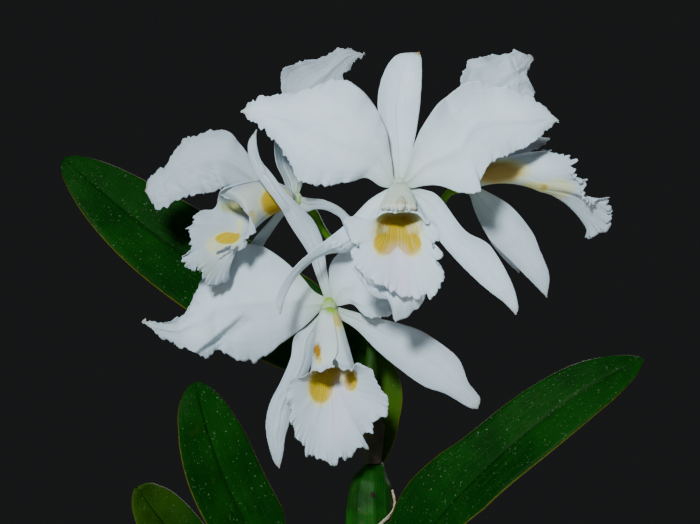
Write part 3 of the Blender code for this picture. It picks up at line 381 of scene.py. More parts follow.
def rough(x, seed, octaves=3):
    """Smooth uneven noise between about -1 and 1 along a line, with a first wavelength of 1."""
    count, start = 512, 97.3
    total = np.zeros_like(np.asarray(x, float))
    size = 1.0
    for k in range(octaves):
        rng = np.random.default_rng(seed * 31 + k)
        table = rng.uniform(-1, 1, count)
        at = np.asarray(x, float) * 2 ** k + start
        i = np.floor(at).astype(int)
        f = at - i
        f = f * f * (3 - 2 * f)
        total = total + size * (table[i % count] * (1 - f) + table[(i + 1) % count] * f)
        size *= 0.5
    return total / (2 - 2.0 ** (1 - octaves))


def mound(x, centre, width):
    """A smooth bump of height one."""
    return np.exp(-((np.asarray(x, float) - centre) / width) ** 2)


def ease(x, low, high):
    """From 0 at low to 1 at high, smoothly."""
    t = np.clip((np.asarray(x, float) - low) / (high - low), 0, 1)
    return t * t * (3 - 2 * t)


def normals_of(grid):
    """The unit normal at each point of a grid."""
    down = np.gradient(grid, axis=0)
    aside = np.gradient(grid, axis=1)
    return unit(np.cross(down, aside))


def new_object(name, points, faces, look, uv=None, tint=None):
    """A smooth mesh from points in millimetres. A tint holds four colour shares and may hold a thinness,
    which the petal look paints as shade.
    """
    data = bpy.data.meshes.new(name)
    data.from_pydata((np.asarray(points) * MM).tolist(), [], [list(map(int, f)) for f in faces])
    if uv is not None:
        layer = data.uv_layers.new(name="flow")
        corner = np.zeros(len(data.loops), int)
        data.loops.foreach_get("vertex_index", corner)
        layer.uv.foreach_set("vector", np.asarray(uv, np.float32)[corner].ravel())
    if tint is not None:
        colours = data.color_attributes.new("tint", "FLOAT_COLOR", "POINT")
        tint = np.asarray(tint, np.float32)
        colours.data.foreach_set("color", tint[:, :4].ravel())
        if tint.shape[1] > 4:
            thin = data.attributes.new("thin", "FLOAT", "POINT")
            thin.data.foreach_set("value", tint[:, 4].copy())
    data.materials.append(look)
    data.shade_smooth()
    mesh = bmesh.new()
    mesh.from_mesh(data)
    bmesh.ops.recalc_face_normals(mesh, faces=mesh.faces[:])
    mesh.to_mesh(data)
    mesh.free()
    obj = bpy.data.objects.new(name, data)
    bpy.context.scene.collection.objects.link(obj)
    return obj


def flow_grid(v, u):
    """Flow coordinates (along, across) for each point of a grid."""
    v, u = np.meshgrid(v, u, indexing="ij")
    return np.stack([u, v], -1).reshape(-1, 2)


def sheet(name, grid, thick, look, tints=None):
    """A closed sheet about a grid of points. Its tints are those of its outer and its inner side."""
    n, m = grid.shape[:2]
    half = normals_of(grid) * (np.broadcast_to(thick, (n, m)) / 2)[..., None]
    points = np.concatenate([(grid + half).reshape(-1, 3), (grid - half).reshape(-1, 3)])
    at = np.arange(n * m).reshape(n, m)
    quads = np.stack([at[:-1, :-1], at[:-1, 1:], at[1:, 1:], at[1:, :-1]], -1).reshape(-1, 4)
    loop = np.concatenate([at[0, :], at[1:, -1], at[-1, -2::-1], at[-2:0:-1, 0]])
    step = np.roll(loop, -1)
    rim = np.stack([loop, loop + n * m, step + n * m, step], -1)
    faces = np.concatenate([quads, quads[:, ::-1] + n * m, rim])
    uv = flow_grid(np.linspace(0, 1, n), np.linspace(0, 1, m))
    colours = None
    if tints is not None:
        colours = np.concatenate([tint.reshape(n * m, -1) for tint in tints])
    return new_object(name, points, faces, look, np.concatenate([uv, uv]), colours)


def capped(rings, sides):
    """The faces of closed rings of points, with one point more at the foot and one at the top."""
    at = np.arange(rings * sides).reshape(rings, sides)
    far = np.roll(at, -1, axis=1)
    quads = np.stack([at[:-1], far[:-1], far[1:], at[1:]], -1).reshape(-1, 4)
    foot, top = rings * sides, rings * sides + 1
    caps = [(foot, far[0, j], at[0, j]) for j in range(sides)]
    return list(quads) + caps + [(top, at[-1, j], far[-1, j]) for j in range(sides)]


def tube(name, points, radii, sides, steps, look, ribs=(0, 0), bumps=0.0, seed=1, tint=None, flat_top=None,
         flat=1.0):
    """A closed round tube along a smooth curve. Ribs are a count and a depth; flat squeezes its height."""
    ts = np.linspace(0, 1, steps + 1)
    line = curve(points, ts)
    ahead = unit(curve(points, ts + 0.01) - curve(points, ts - 0.01))
    side = np.array([1, 0, 0.013])
    turns = np.linspace(0, 2 * math.pi, sides, endpoint=False)
    sizes = spread_over(radii, ts)
    count, depth = ribs
    hollows = 0.5 - 0.5 * np.cos(count * turns)
    rings = []
    for i in range(steps + 1):
        side = unit(side - ahead[i] * side.dot(ahead[i]))
        up = np.cross(ahead[i], side)
        radius = sizes[i] * (1 - depth * hollows * math.sin(math.pi * ts[i]) ** 0.5)
        radius = radius + bumps * rough(turns * 2.1 + ts[i] * 17, seed)
        out = np.outer(np.cos(turns), side) + np.outer(np.sin(turns), up) * flat
        rings.append(line[i] + out * radius[:, None])
    if flat_top is not None:
        rings[-1][:, 2] = flat_top
    points = np.concatenate(rings + [[rings[0].mean(0)], [rings[-1].mean(0)]])
    uv = flow_grid(ts, np.abs(np.linspace(-1, 1, sides, endpoint=False)))
    uv = np.concatenate([uv, [[0.5, 0], [0.5, 1]]])
    colours = None
    if tint is not None:
        colours = np.concatenate([np.repeat(tint(ts), sides, axis=0), [tint(ts[:1])[0], tint(ts[-1:])[0]]])
    return new_object(name, points, capped(steps + 1, sides), look, uv, colours)


def wear(piece, *nodes, slot):
    """The piece moves with the plant and stands for the CAD nodes. The slot is not used."""
    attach(piece, BODY)
    if nodes:
        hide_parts(*nodes)
    return piece
ROOT_SHARE = 0.35
PETAL_THICK = 0.8
SEPAL_THICK = 1.0
LIP_THICK = 0.8
FOLD_THICK = 0.5
PETAL_TOOTH = 1.9
SEPAL_TOOTH = 0.12
PETAL_RIDGE = 1.7
SEPAL_GROOVE = 0.5
NECK_LENGTH = 9.0
HUB_RADIUS = 4.6

# How finely a lip's margin is read, over how many of its points it is smoothed, and the handles of the
# curves from the tube's mouth to the margin, as shares of the way
MARGIN_SAMPLES = 3000
MARGIN_CALM = 16
MOUTH_HANDLE = 0.36
MARGIN_HANDLE = 0.35


def wave(edge, t, count):
    """A smooth uneven wave between -1 and 1 along an edge."""
    turn = 2 * math.pi * count * t
    return 0.65 * np.sin(turn + 1.7 * edge) + 0.35 * np.sin(1.7 * turn + 2.9 * edge + 0.8)


def placed(grid, centre):
    """Points given as (right, up, near) from a bloom's centre, in the plant's own axes."""
    return np.array(centre, float) + np.stack([grid[..., 0], -grid[..., 2], grid[..., 1]], -1)


def calmed(line, reach):
    """A line of points smoothed over some points on each side, with its ends kept."""
    steps = np.arange(-2 * reach, 2 * reach + 1)
    weights = np.exp(-(steps / reach) ** 2)
    padded = np.concatenate([np.repeat(line[:1], 2 * reach, 0), line, np.repeat(line[-1:], 2 * reach, 0)])
    return np.stack([np.convolve(padded[:, k], weights / weights.sum(), "valid") for k in range(3)], -1)


def blade_grid(left, right, kind, arch, waves, height, seed):
    """The middle surface of a petal or sepal between its edges, and its share of the full thickness."""
    petal = kind == "petal"
    along, across = STEPS[kind]
    left, right = (np.vstack([np.array(edge[0]) * ROOT_SHARE, edge]) for edge in (left, right))
    t = np.linspace(0, 1, along + 1)
    a, b = curve(left, t), curve(right, t)
    middle = (a + b) / 2
    length = np.linalg.norm(np.diff(middle, axis=0), axis=1).sum()
    ahead = unit((curve(left, t + 0.02) + curve(right, t + 0.02)) / 2 - middle)
    ahead[-1] = ahead[-2]
    over = unit(b - a)
    over[-1] = over[-2]
    face = unit(np.cross(over, ahead))

    def teeth(first, full, start):
        fine = rough(t * length / 2.4, start) + 0.5 * rough(t * length, start + 7)
        return ((PETAL_TOOTH if petal else SEPAL_TOOTH) * ease(t, first, full) * fine)[:, None]

    left_teeth, right_teeth = teeth(0.4, 0.65, seed), teeth(0.2, 0.4, seed + 1)
    wide = np.maximum(np.linalg.norm(b - a, axis=1), 0.3)[:, None]
    t, side = t[:, None], np.linspace(-1, 1, across + 1)[None, :]
    margin = right_teeth * np.maximum(side, 0) ** 7 - left_teeth * np.maximum(-side, 0) ** 7
    base = middle[:, None] + over[:, None] * (wide * side / 2 + margin)[..., None]
    lift = arch * wide * (1 - side ** 2) * np.sin(math.pi * np.minimum(1, 0.15 + t))
    edge = np.where(side > 0, 1, 2)
    ruffle = height * np.abs(side) ** 3 * wave(edge, t, waves) * np.sin(math.pi * t)
    free = ease(t, 0.12, 0.35)
    if petal:
        crinkle = rough(t * length / 7 + edge * 5.3, seed + 2) * 1.5
        crinkle = crinkle + rough(t * length / 3 + edge, seed + 3) * 0.7
        ruffle = ruffle + crinkle * np.abs(side) ** 5 * free
        ruffle = ruffle + 0.5 * rough(t * length / 1.9 + edge * 3.1, seed + 6) * np.abs(side) ** 12 * free
        ruffle = ruffle + 0.6 * rough(t * 3 + side * 1.1, seed + 4) * free
        ruffle = ruffle + 0.10 * rough(side * 9 + t * 0.8, seed + 5) * free
        ridge = PETAL_RIDGE * np.exp(-np.abs(side) / 0.2) * np.sin(math.pi * np.minimum(1, 0.08 + 0.9 * t))
        lift = lift - ridge * np.where(face[:, 2] > 0, 1, -1)[:, None]
    else:
        ruffle = ruffle + 0.35 * rough(t * 5 + side * 0.7, seed + 4) * free
        ruffle = ruffle + 0.12 * rough(side * 6 + t * 0.6, seed + 5) * free
        groove = SEPAL_GROOVE * mound(side, 0, 0.07) * np.sin(math.pi * np.minimum(1, 0.1 + t)) ** 0.5
        lift = lift + groove
    thin = (1 - 0.55 * np.abs(side) ** 3 * np.ones_like(t)) * (1 - 0.3 * t)
    return base - face[:, None] * (lift - ruffle)[..., None], thin


def creased(grid, creases, seed):
    """A blade's grid with its sharp creases and crumpled margins pushed towards the viewer."""
    grid = grid.copy()
    for k, (x0, y0, x1, y1, width, height, crumple) in enumerate(creases):
        length = math.hypot(x1 - x0, y1 - y0)
        ahead = ((x1 - x0) / length, (y1 - y0) / length)
        x, y = grid[..., 0] - x0, grid[..., 1] - y0
        along = (x * ahead[0] + y * ahead[1]) / length
        off = (y * ahead[0] - x * ahead[1]) / width
        fade = ease(along, -0.15, 0.1) * ease(along, 1.15, 0.85)
        shape = np.where(off > 0, np.exp(-off), np.exp(off * 8))
        rumple = rough(along * length / 3.2 + off * 0.8, seed + k)
        rumple = rumple + 0.6 * rough(off * 2.1 + along * length / 7, seed + k + 9)
        grid[..., 2] += fade * (height * shape + crumple * rumple * mound(off, 0, 1.3))
    return grid


def blade_tint(along, across, tip_brown):
    """Yellow, lilac, green and ochre shares over a blade, and how thin it is, which greys its margins and
    tip as painted shade.
    """
    t = np.linspace(0, 1, along + 1)[:, None]
    side = np.linspace(-1, 1, across + 1)[None, :]
    flat = np.ones_like(t * side)
    yellow = 0.10 * ease(t, 0.35, 0.0) * flat
    green = (0.28 * ease(t, 0.16, 0.0) + 0.05 * mound(side, 0, 0.12) * ease(t, 0.8, 0.2)) * flat
    ochre = tip_brown * ease(t, 0.93, 0.98) * flat
    # Painted shade: thin margins and tip are greyed, as if a dark backdrop showed through them
    thin = 0.85 * ease(np.abs(side), 0.3, 1.0) + 0.3 * ease(t, 0.7, 1.0)
    return np.stack([yellow, 0 * flat, green, ochre, thin * flat], -1)


def lip_margin(lip, around):
    """Points spread along the lip's margin, their turns round the tube, and their ways along the margin."""
    table = np.array(lip["margin"], float)
    limit = table[-1, 0]
    fine = np.linspace(-limit, limit, MARGIN_SAMPLES)
    rim = through(table[:, 1:], np.interp(fine, table[:, 0], np.arange(len(table))))
    far = np.concatenate([[0], np.cumsum(np.linalg.norm(np.diff(rim, axis=0), axis=1))])
    spread = far + far[-1] * (fine + limit) / (2 * limit) * 0.25
    at = np.linspace(0, spread[-1], around + 1)
    end = np.stack([np.interp(at, spread, rim[:, k]) for k in range(3)], -1)
    return end, np.radians(np.interp(at, spread, fine)), np.interp(at, spread, far)


def lip_tube(lip, turn, steps, seed):
    """The rings of the lip's tube from its foot to its mouth, and the way it runs at the mouth."""
    limit = lip["margin"][-1][0]
    p0, p1, p2 = np.array(lip["line"], float)
    v = np.linspace(0, 1, steps + 1)[:, None]
    line = p0 * (1 - v) ** 2 + p1 * 2 * v * (1 - v) + p2 * v * v
    axis = unit((p1 - p0) * (1 - v) + (p2 - p1) * v)
    down = unit(np.array([0, -1.0, 0]) + axis * axis[:, 1:2])
    right = np.cross(down, axis)
    round_it = turn * (1 + (lip["lap"] / limit - 1) * (1 - v ** 9))
    cos, sin = np.cos(round_it), np.sin(round_it)
    start, mouth = lip["radii"]
    radius = start + (mouth - start) * v ** lip["swell"] + 0.25 * rough(turn * 3.1, seed + 1) * v
    radius = radius * (1 + 0.05 * turn / math.pi * (lip["lap"] > limit))
    flat = np.where(cos < 0, 1 - (1 - lip["top"]) * v, 1.0) * cos
    out = down[:, None] * flat[..., None] + right[:, None] * sin[..., None]
    return line[:, None] + out * radius[..., None], axis[-1]


def lip_grid(lip, seed):
    """The lip's middle surface: a tube that opens into a broad frilled fan with the given margin."""
    tube_steps, fan_steps, around = LIP_STEPS
    end, turn, arc = lip_margin(lip, around)
    rolled, ahead = lip_tube(lip, turn, tube_steps, seed)
    here = rolled[-1]
    calm = calmed(end, MARGIN_CALM)
    reach = np.linalg.norm(calm - here, axis=1)[:, None]
    share = ease(reach, 4, 20)
    face = unit(lip["face"])
    outward = unit(calm - here)
    first = here + ahead * reach * MOUTH_HANDLE
    second = calm - outward * reach * MARGIN_HANDLE + face * share * reach * 0.12
    w = (np.arange(1, fan_steps + 1) / fan_steps)[:, None, None] ** 0.85
    fan = here * (1 - w) ** 3 + first * 3 * w * (1 - w) ** 2 + second * 3 * w * w * (1 - w) + calm * w ** 3
    stray = end - calm
    depth = (stray @ face)[:, None] * face
    fan = fan + (stray - depth) * w ** 6 + depth * w ** 14

    def uneven(line, step):
        return rough(line, seed + step)[:, None]

    curl = lip["frill"]
    beat = arc * 2 * math.pi / lip["beat"] + 1.6 * np.sin(arc * 0.31) + 1.1 * np.sin(arc * 0.83)
    frill = 0.8 * curl * w ** 15 * np.sin(beat)[:, None] * share
    frill = frill + 0.9 * w ** 11 * uneven(arc / 4.4, 2) * share
    frill = frill + 0.6 * curl * w ** 14 * uneven(arc / 1.8, 3)
    frill = frill + 0.30 * share * np.sin(w * math.pi) * uneven(turn * 6.5, 5)
    teeth = 1.5 * w ** 16 * uneven(arc / 2.0, 4)
    teeth = teeth + 0.45 * curl * w ** 10 * np.cos(beat + 0.5)[:, None] * share
    return np.concatenate([rolled, fan + face * frill + outward * teeth])


def patched(grid, patches):
    """The yellow, lilac, green and ochre shares that soft patches give a grid in a bloom's own axes."""
    shares = np.zeros((*grid.shape[:2], 4))
    for channel, right, up, wide, tall, strength in patches:
        away = np.hypot((grid[..., 0] - right) / wide, (grid[..., 1] - up) / tall)
        shares[..., channel] += strength * ease(away, 1.3, 0.7)
    return shares.clip(0, 1)


def lip_sheet(name, centre, look, seed):
    """The lip with its coloured patches outside and inside. It thins out towards its margin."""
    grid = lip_grid(LIPS[name], seed)
    tube_steps, fan_steps, around = LIP_STEPS
    out = ease(np.arange(tube_steps + fan_steps + 1), tube_steps, tube_steps + fan_steps)[:, None]
    # Painted shade: the fan greys towards its thin margin
    thin = np.repeat(0.8 * out, around + 1, axis=1)[..., None]
    tints = [np.concatenate([patched(grid, patches[name]), thin], -1) for patches in (OUTSIDE, INSIDE)]
    return sheet(f"{name}_lip", placed(grid, centre), LIP_THICK * (1 - 0.6 * out), look, tints)


def under_fold(name, centre, look, seed):
    """The part of a lip that is turned under and shows below it."""
    along, across = 121, 25
    s = np.linspace(0, 1, along)
    upper, lower = (curve(line, s) for line in UNDER_FOLD)
    outward = unit(lower - upper)
    arc = s * np.linalg.norm(np.diff(lower, axis=0), axis=1).sum()
    w = np.linspace(0, 1, across)[:, None, None]
    grid = upper * (1 - w) + lower * w
    grid = grid + np.array([0, 0, 2.2]) * np.sin(w * math.pi) * ease(s, 0.3, 0.6)[:, None]
    grid = grid + outward * (0.9 * w ** 8 * rough(arc / 2.0, seed)[:, None])
    grid = grid + np.array([0, 0.2, 1]) * (0.9 * w ** 4 * rough(arc / 2.6, seed + 1)[:, None])
    paint = np.zeros((across, along, 5))
    # Painted shade: the thin share greys the turned-under fold, most at its free margin
    paint[..., 4] = 0.4 + 0.6 * w[..., 0]
    return sheet(f"{name}_lip_fold", placed(grid, centre), FOLD_THICK, look, (paint, paint))


def column_tip(name, centre, look, seed):
    """The ragged end of an open column: its anther cap and the small teeth beside it."""
    rng = random.Random(seed)

    def tip_tint(ts):
        return np.stack([0.12 + 0.1 * ts, 0.16 + 0 * ts, 0.05 * ts, 0.55 * ease(ts, 0.75, 1.0)], -1)

    def anther_tint(ts):
        return np.stack([0.30 + 0 * ts, 0.05 + 0 * ts, 0.45 * ease(ts, 0.6, 0.2),
                         0.5 * mound(ts, 0.62, 0.12)], -1)

    anther = np.array([(0.6, -8.0, 25.6), (0.4, -10.4, 29.0), (0, -12.6, 32.2), (-0.2, -14.6, 33.0)])
    made = [tube(f"{name}_anther", placed(anther, centre), (1.4, 2.6, 3.3, 2.6, 0.8), 28, 20, look,
                 (4, 0.14), 0.2, seed, anther_tint, flat=0.7)]
    for k in range(9):
        across = -8.2 + 1.85 * k
        root = np.array([across, -12.4 + 0.02 * across ** 2, 30.6 - 0.02 * across ** 2])
        length = rng.uniform(1.6, 3.4)
        lean = rng.uniform(-0.8, 0.8)
        line = np.array([root, root + (lean / 2, -length * 0.6, 0.7), root + (lean, -length, 0.5)])
        radii = (1.2, rng.uniform(0.7, 1.1), 0.25)
        made.append(tube(f"{name}_tooth_{k}", placed(line, centre), radii, 12, 8, look, (0, 0), 0.1,
                         seed + k, tip_tint))
    return made


def column(name, centre, look, seed):
    """The column in the bloom's middle, green at its foot."""
    route, radii, flat = COLUMNS[name]

    def tint(ts):
        return np.stack([0.16 + 0.10 * ts, 0.04 * ts, 0.10 + ease(ts, 0.5, 0.0) * 0.7, 0.05 + 0.05 * ts], -1)

    return tube(f"{name}_column", placed(np.array(route, float), centre), radii, 40, 36, look, (0, 0), 0.22,
                seed, tint, flat=flat)


def neck(name, centre, back, look):
    """The ribbed neck behind the bloom, which greens towards its stem."""
    middle = np.array(centre, float)
    line = [middle - back * 3, middle, middle + back * NECK_LENGTH / 2, middle + back * NECK_LENGTH]
    fresh = 1.0 if name == "bloom_low" else 0.25

    def tint(ts):
        return np.stack([0.15 + 0 * ts, 0 * ts, fresh + (1 - fresh) * ease(ts, 0.1, 0.8), 0 * ts], -1)

    return tube(f"{name}_neck", line, (2.5, HUB_RADIUS, 3.2, 2.5), 30, 24, look, (6, 0.06), tint=tint)


def bloom(name, spec, look, seed):
    """One bloom: five blades, lip, column and neck, as pieces that stand for its one solid."""
    centre = spec["centre"]
    made = []
    for k, (blade, (left, right, kind, arch, waves, height)) in enumerate(spec["blades"].items()):
        start = seed + 10 * k
        grid, thin = blade_grid(left, right, kind, arch, waves, height, start)
        grid = creased(grid, CREASES.get(f"{name}_{blade}", []), start + 7)
        thick = (PETAL_THICK if kind == "petal" else SEPAL_THICK) * thin
        tint = blade_tint(*STEPS[kind], 0.9 if (name, blade) == ("bloom_top", "dorsal") else 0.25)
        made.append(sheet(f"{name}_{blade}", placed(grid, centre), thick, look, (tint, tint)))
    made.append(lip_sheet(name, centre, look, seed + 70))
    made.append(column(name, centre, look, seed + 80))
    if name == "bloom_top":
        made += column_tip(name, centre, look, seed + 84)
        made.append(under_fold(name, centre, look, seed + 95))
    made.append(neck(name, centre, unit(spec["neck"]), look))
    for piece in made:
        wear(piece, name, slot="petal_white")


def leaf_half_width(t):
    """How wide a strap leaf is along its length, as a share of its widest."""
    foot = 0.2 + 0.8 * np.minimum(1, t / 0.42) ** 0.9
    tip = np.maximum(0, 1 - np.maximum(0, (t - 0.55) / 0.45) ** 2.4) ** 0.6
    return foot * tip


def leaf(name, spec, look, seed):
    """A strap leaf with a sunken midrib and a thin margin."""
    bulb, midrib, half, face_foot, face_tip = spec
    top = np.array(BULBS[bulb][1], float)
    root = top + np.array([0, LEAF_SETBACK if bulb == "tall" else 0, GAP])
    points = np.vstack([root, midrib])
    along, across = LEAF_STEPS
    t = np.linspace(0, 1, along + 1)
    here = curve(points, t)
    ahead = unit(curve(points, t + 0.02) - curve(points, t - 0.02))
    face = np.outer(1 - t, face_foot) + np.outer(t, face_tip)
    face = unit(face - ahead * (face * ahead).sum(1, keepdims=True))
    side = np.cross(ahead, face)
    width = np.maximum(half * leaf_half_width(t), 0.4)[:, None]
    t, s = t[:, None], np.linspace(-1, 1, across + 1)[None, :]
    if name == "leaf_right":
        # Its upper side is broader near its foot
        width = width * (1 + 0.6 * mound(t, 0.25, 0.15) * (s < 0))
    fold = 0.34 * (1 - t) ** 1.5 + 0.10
    ripple = 0.8 * np.abs(s) * wave(np.where(s > 0, 1, 2), t, 2.2) * t
    ripple = ripple + 0.35 * rough(t * 9 + np.sign(s) * 3, seed) * np.abs(s) ** 2 * t
    rise = fold * width * np.abs(s) ** 1.4 + ripple
    rise = rise - 1.1 * mound(s, 0, 0.06) * ease(t, 1.0, 0.9) * ease(t, 0.0, 0.15)
    rise = rise - 0.9 * ease(np.abs(s), 0.93, 1.0) * ease(t, 0.1, 0.3)
    grid = here[:, None] + side[:, None] * (s * width)[..., None] + face[:, None] * rise[..., None]
    grid[0, :, 2] = root[2] + LEAF_THICK / 2
    thick = LEAF_THICK * (1 - 0.6 * np.abs(s) ** 4) * np.ones_like(t)
    paint = np.zeros((*grid.shape[:2], 4))
    if name == "leaf_left":
        paint[..., 0] = 0.9 * ease(t, 0.27, 0.17) * ease(s, 0.1, 0.45)
    elif name == "leaf_small":
        paint[..., 0] = 0.5 * ease(t, 0.5, 0.9)
    wear(sheet(name + "_blade", grid, thick, look, (paint, paint)), name, slot="leaf_green")


BULB_RIBS = (9, 0.10)
TALL_RADII = (4.2, 4.4, 4.6, 6.0, 7.3, 9.0, 10.6, 12.0, 13.2, 13.2, 12.9, 10.8, 4.6)
LEAF_THICK = 1.7
LEAF_SETBACK = 3.2
RHIZOME_RADIUS = 5.0
ROOT_DEPTH = 26.0
HUSK_THICK = 0.45
HUSK_FOOT = 0.02
HUSK_LIFT = 0.5
SHEATH_THICK = 0.5
SHEATH_HEIGHT = 30
BRACT_THICK = 0.4
BARK_TOP = 112.0
ROOTS = [(-52, -8), (-34, 22), (-12, -26), (-8, 12), (20, -24), (30, 20), (34, -4)]
CHIPS = 210

POT_HEIGHT = 122.0
POT_FOOT_RADIUS = 52.0
POT_RIM_RADIUS = 74.0
POT_WALL = 3.2
POT_FLOOR = 5.0
DRAIN_COUNT = 6
DRAIN_RADIUS = 5.0
DRAIN_CIRCLE = 30.0
FILLING_TOP = BARK_TOP - 1.5


def rhizome_route():
    """The way of the creeping stem over the bark, past the foot of each bulb."""
    level = BARK_TOP + RHIZOME_RADIUS + GAP
    feet = [BULBS[key][0] for key in ("small", "front", "right", "tall")]
    route = [(feet[0][0] - 8, feet[0][1] + 3, level)] + [(x, y, level) for x, y in feet]
    return route + [(feet[-1][0] + 7, feet[-1][1] + 5, level)]


def bulb_line(key):
    """The middle line and the radii of a pseudobulb."""
    foot, top, widest = BULBS[key]
    level = BARK_TOP + RHIZOME_RADIUS + GAP
    low, high = np.array([*foot, level], float), np.array(top, float)
    lean = np.array([*foot, level + (top[2] - level) * 0.4])
    neck = high - (high - lean) * 0.25
    radii = (4.2, 4.6, 0.55 * widest, 0.8 * widest, widest, 0.97 * widest, 0.62 * widest)
    if key == "tall":
        neck = neck - np.array([2.6, 0, 0])
        radii = TALL_RADII
    return [low, lean, neck, high], radii


def bulbs(green, rootskin):
    """The creeping stem, its ribbed pseudobulbs and its thick roots."""
    route = rhizome_route()
    sizes = (4.0, 5.0, 4.6, 5.0, 4.6, 5.0, 3.6)
    made = [tube("rhizome", route, sizes, 28, 130, green, (0, 0), 0.35, 5)]
    for k, key in enumerate(BULBS):
        line, radii = bulb_line(key)
        top = BULBS[key][1][2]
        made.append(tube(f"bulb_{key}", line, radii, 72, 90, green, BULB_RIBS, 0.2, 20 + k, flat_top=top))
    samples = curve(route, np.linspace(0, 1, 41))
    for k, (x, y) in enumerate(ROOTS):
        start = samples[np.argmin((samples[:, 0] - x) ** 2 + (samples[:, 1] - y) ** 2)]
        points = [start, ((start[0] + x) / 2, (start[1] + y) / 2, route[0][2] + 2), (x, y, BARK_TOP + 2),
                  (x, y, BARK_TOP - 9), (x, y, BARK_TOP - ROOT_DEPTH)]
        made.append(tube(f"root_{k}", points, (1.9, 1.9, 1.8, 1.7, 1.2), 16, 60, rootskin, (0, 0), 0.18,
                         40 + k))
    for piece in made:
        wear(piece, "bulbs", slot="bulb_green")


def husk(key, high, middle, spread, look, seed):
    """A dry ragged sheath up a bulb's flank to a share of its height, spread in degrees about its middle."""
    line, radii = bulb_line(key)
    ts = np.linspace(0, 1, 44)
    turns = math.radians(middle) + math.radians(spread) * np.linspace(-1, 1, 54)
    end = high * (1 - 0.10 * np.abs(rough(turns * 5, seed)) - 0.05 * np.abs(rough(turns * 19, seed + 1)))
    grid = np.zeros((len(ts), len(turns), 3))
    for j, turn in enumerate(turns):
        at = HUSK_FOOT + (end[j] - HUSK_FOOT) * ts
        flare = 1.8 * ease(ts, 0.8, 1.0) * (0.4 + 0.6 * rough(turn * 3, seed + 3))
        off = HUSK_LIFT + 0.3 * rough(at * 30 + turn * 2, seed + 2) + flare
        away = np.array([math.cos(turn), math.sin(turn), 0])
        grid[:, j] = curve(line, at) + away * (spread_over(radii, at) + np.maximum(off, 0.3))[:, None]
    wear(sheet(f"husk_{key}", grid, HUSK_THICK, look), slot="dry_sheath")


def torn_strip(look):
    """The torn edge of the tall bulb's husk: a strip that climbs round its right flank to a thin tip."""
    line, radii = bulb_line("tall")
    shares = np.linspace(0, 1, 400)
    s = np.linspace(0, 1, 70)
    turns = np.radians(np.interp(s, (0, 0.8, 1), (-88, -2, -24)))
    heights = np.interp(s, (0, 0.8, 1), (240.5, 254, 260.5))
    half = np.interp(s, (0, 0.7, 0.85, 1), (1.0, 1.3, 0.7, 0.25))
    at = np.interp(heights, curve(line, shares)[:, 2], shares)
    away = np.stack([np.cos(turns), np.sin(turns), 0 * turns], -1)
    w = np.linspace(-1, 1, 9)[:, None]
    rise = half * w * (1 + 0.35 * rough(s * 14 + w, 97))
    off = 1.0 + 0.45 * w + 0.25 * rough(s * 20 + w, 98)
    grid = curve(line, at) + away * (spread_over(radii, at) + off)[..., None]
    grid = grid + np.array([0, 0, 1]) * rise[..., None]
    wear(sheet("husk_strip", grid, HUSK_THICK, look), "bulbs", slot="dry_sheath")


def stem_sheath(look):
    """The dry sheath that stands round the front of the flower stem's foot."""
    x, y, z = STEM_PATH[0]
    t = np.linspace(0, 1, 50)[:, None]
    side = np.linspace(-1, 1, 44)[None, :]
    radius = 3.7 + 1.9 * t + 0.25 * rough(side * 6, 90) * t
    turn = math.radians(80) * side
    ragged = 0.05 * rough(side * 9, 91) * ease(t, 0.6, 1.0)
    height = SHEATH_HEIGHT * t * (1 - 0.35 * np.abs(side)) * (1 + ragged)
    grid = np.stack([x + radius * np.sin(turn), y - radius * np.cos(turn), z + height + 0 * radius], -1)
    wear(sheet("sheath_paper", grid, SHEATH_THICK, look), "sheath_dry", slot="dry_sheath")


def stems(look, paper):
    """The main stem, a pedicel for each bloom, and a small bract where each one leaves."""
    made = [tube("stem", STEM_PATH, (2.6, 2.6, 2.3), 28, 90, look, (0, 0), 0.08, 60)]
    for k, (name, route) in enumerate(PEDICELS.items()):
        spec, short = BLOOMS[name], name.removeprefix("bloom_")
        back = unit(spec["neck"])
        end = np.array(spec["centre"]) + back * (NECK_LENGTH + GAP)
        points = [np.array(p, float) for p in route] + [end + back * 5, end]
        made.append(tube(f"pedicel_{short}", points, (2.0, 1.9, 1.9, 2.2), 24, 60, look, (6, 0.1), 0.05,
                         61 + k))
        made.append(bract(f"bract_{short}", points[0], points[1], paper, 70 + k))
    for piece in made:
        wear(piece, "flower_stem", slot="stalk_green")


def bract(name, start, onward, look, seed):
    """A short pointed scale that clasps the foot of a pedicel."""
    ahead = unit(np.array(onward) - np.array(start))
    side = unit(np.cross(ahead, (0, -1, 0.2)))
    front = np.cross(side, ahead)
    t = np.linspace(0, 1, 24)[:, None]
    s = np.linspace(-1, 1, 21)[None, :]
    turn = math.radians(115) * s * (1 - 0.85 * t ** 1.5)
    radius = 2.9 + 0.5 * t + 0.1 * rough(s * 4, seed)
    along = -1.5 + 8.5 * t
    grid = (np.array(start) + ahead * along[..., None] + side * (radius * np.sin(turn))[..., None]
            + front * (radius * np.cos(turn))[..., None])
    return sheet(name, grid, BRACT_THICK, look)


def turned(name, profile, sides, look, wobble=0.0):
    """A solid of revolution about Z from a profile of (radius, height) whose ends are on the axis."""
    profile = np.array(profile, float)
    turns = np.linspace(0, 2 * math.pi, sides, endpoint=False)
    body = profile[1:-1]
    r, z = body[:, :1], body[:, 1:]
    r = r + wobble * rough(z * 0.9, 8, 2)
    points = np.stack([r * np.cos(turns), r * np.sin(turns), z + 0 * turns], -1).reshape(-1, 3)
    points = np.concatenate([points, [[0, 0, profile[0, 1]], [0, 0, profile[-1, 1]]]])
    return new_object(name, points, capped(len(body), sides), look)


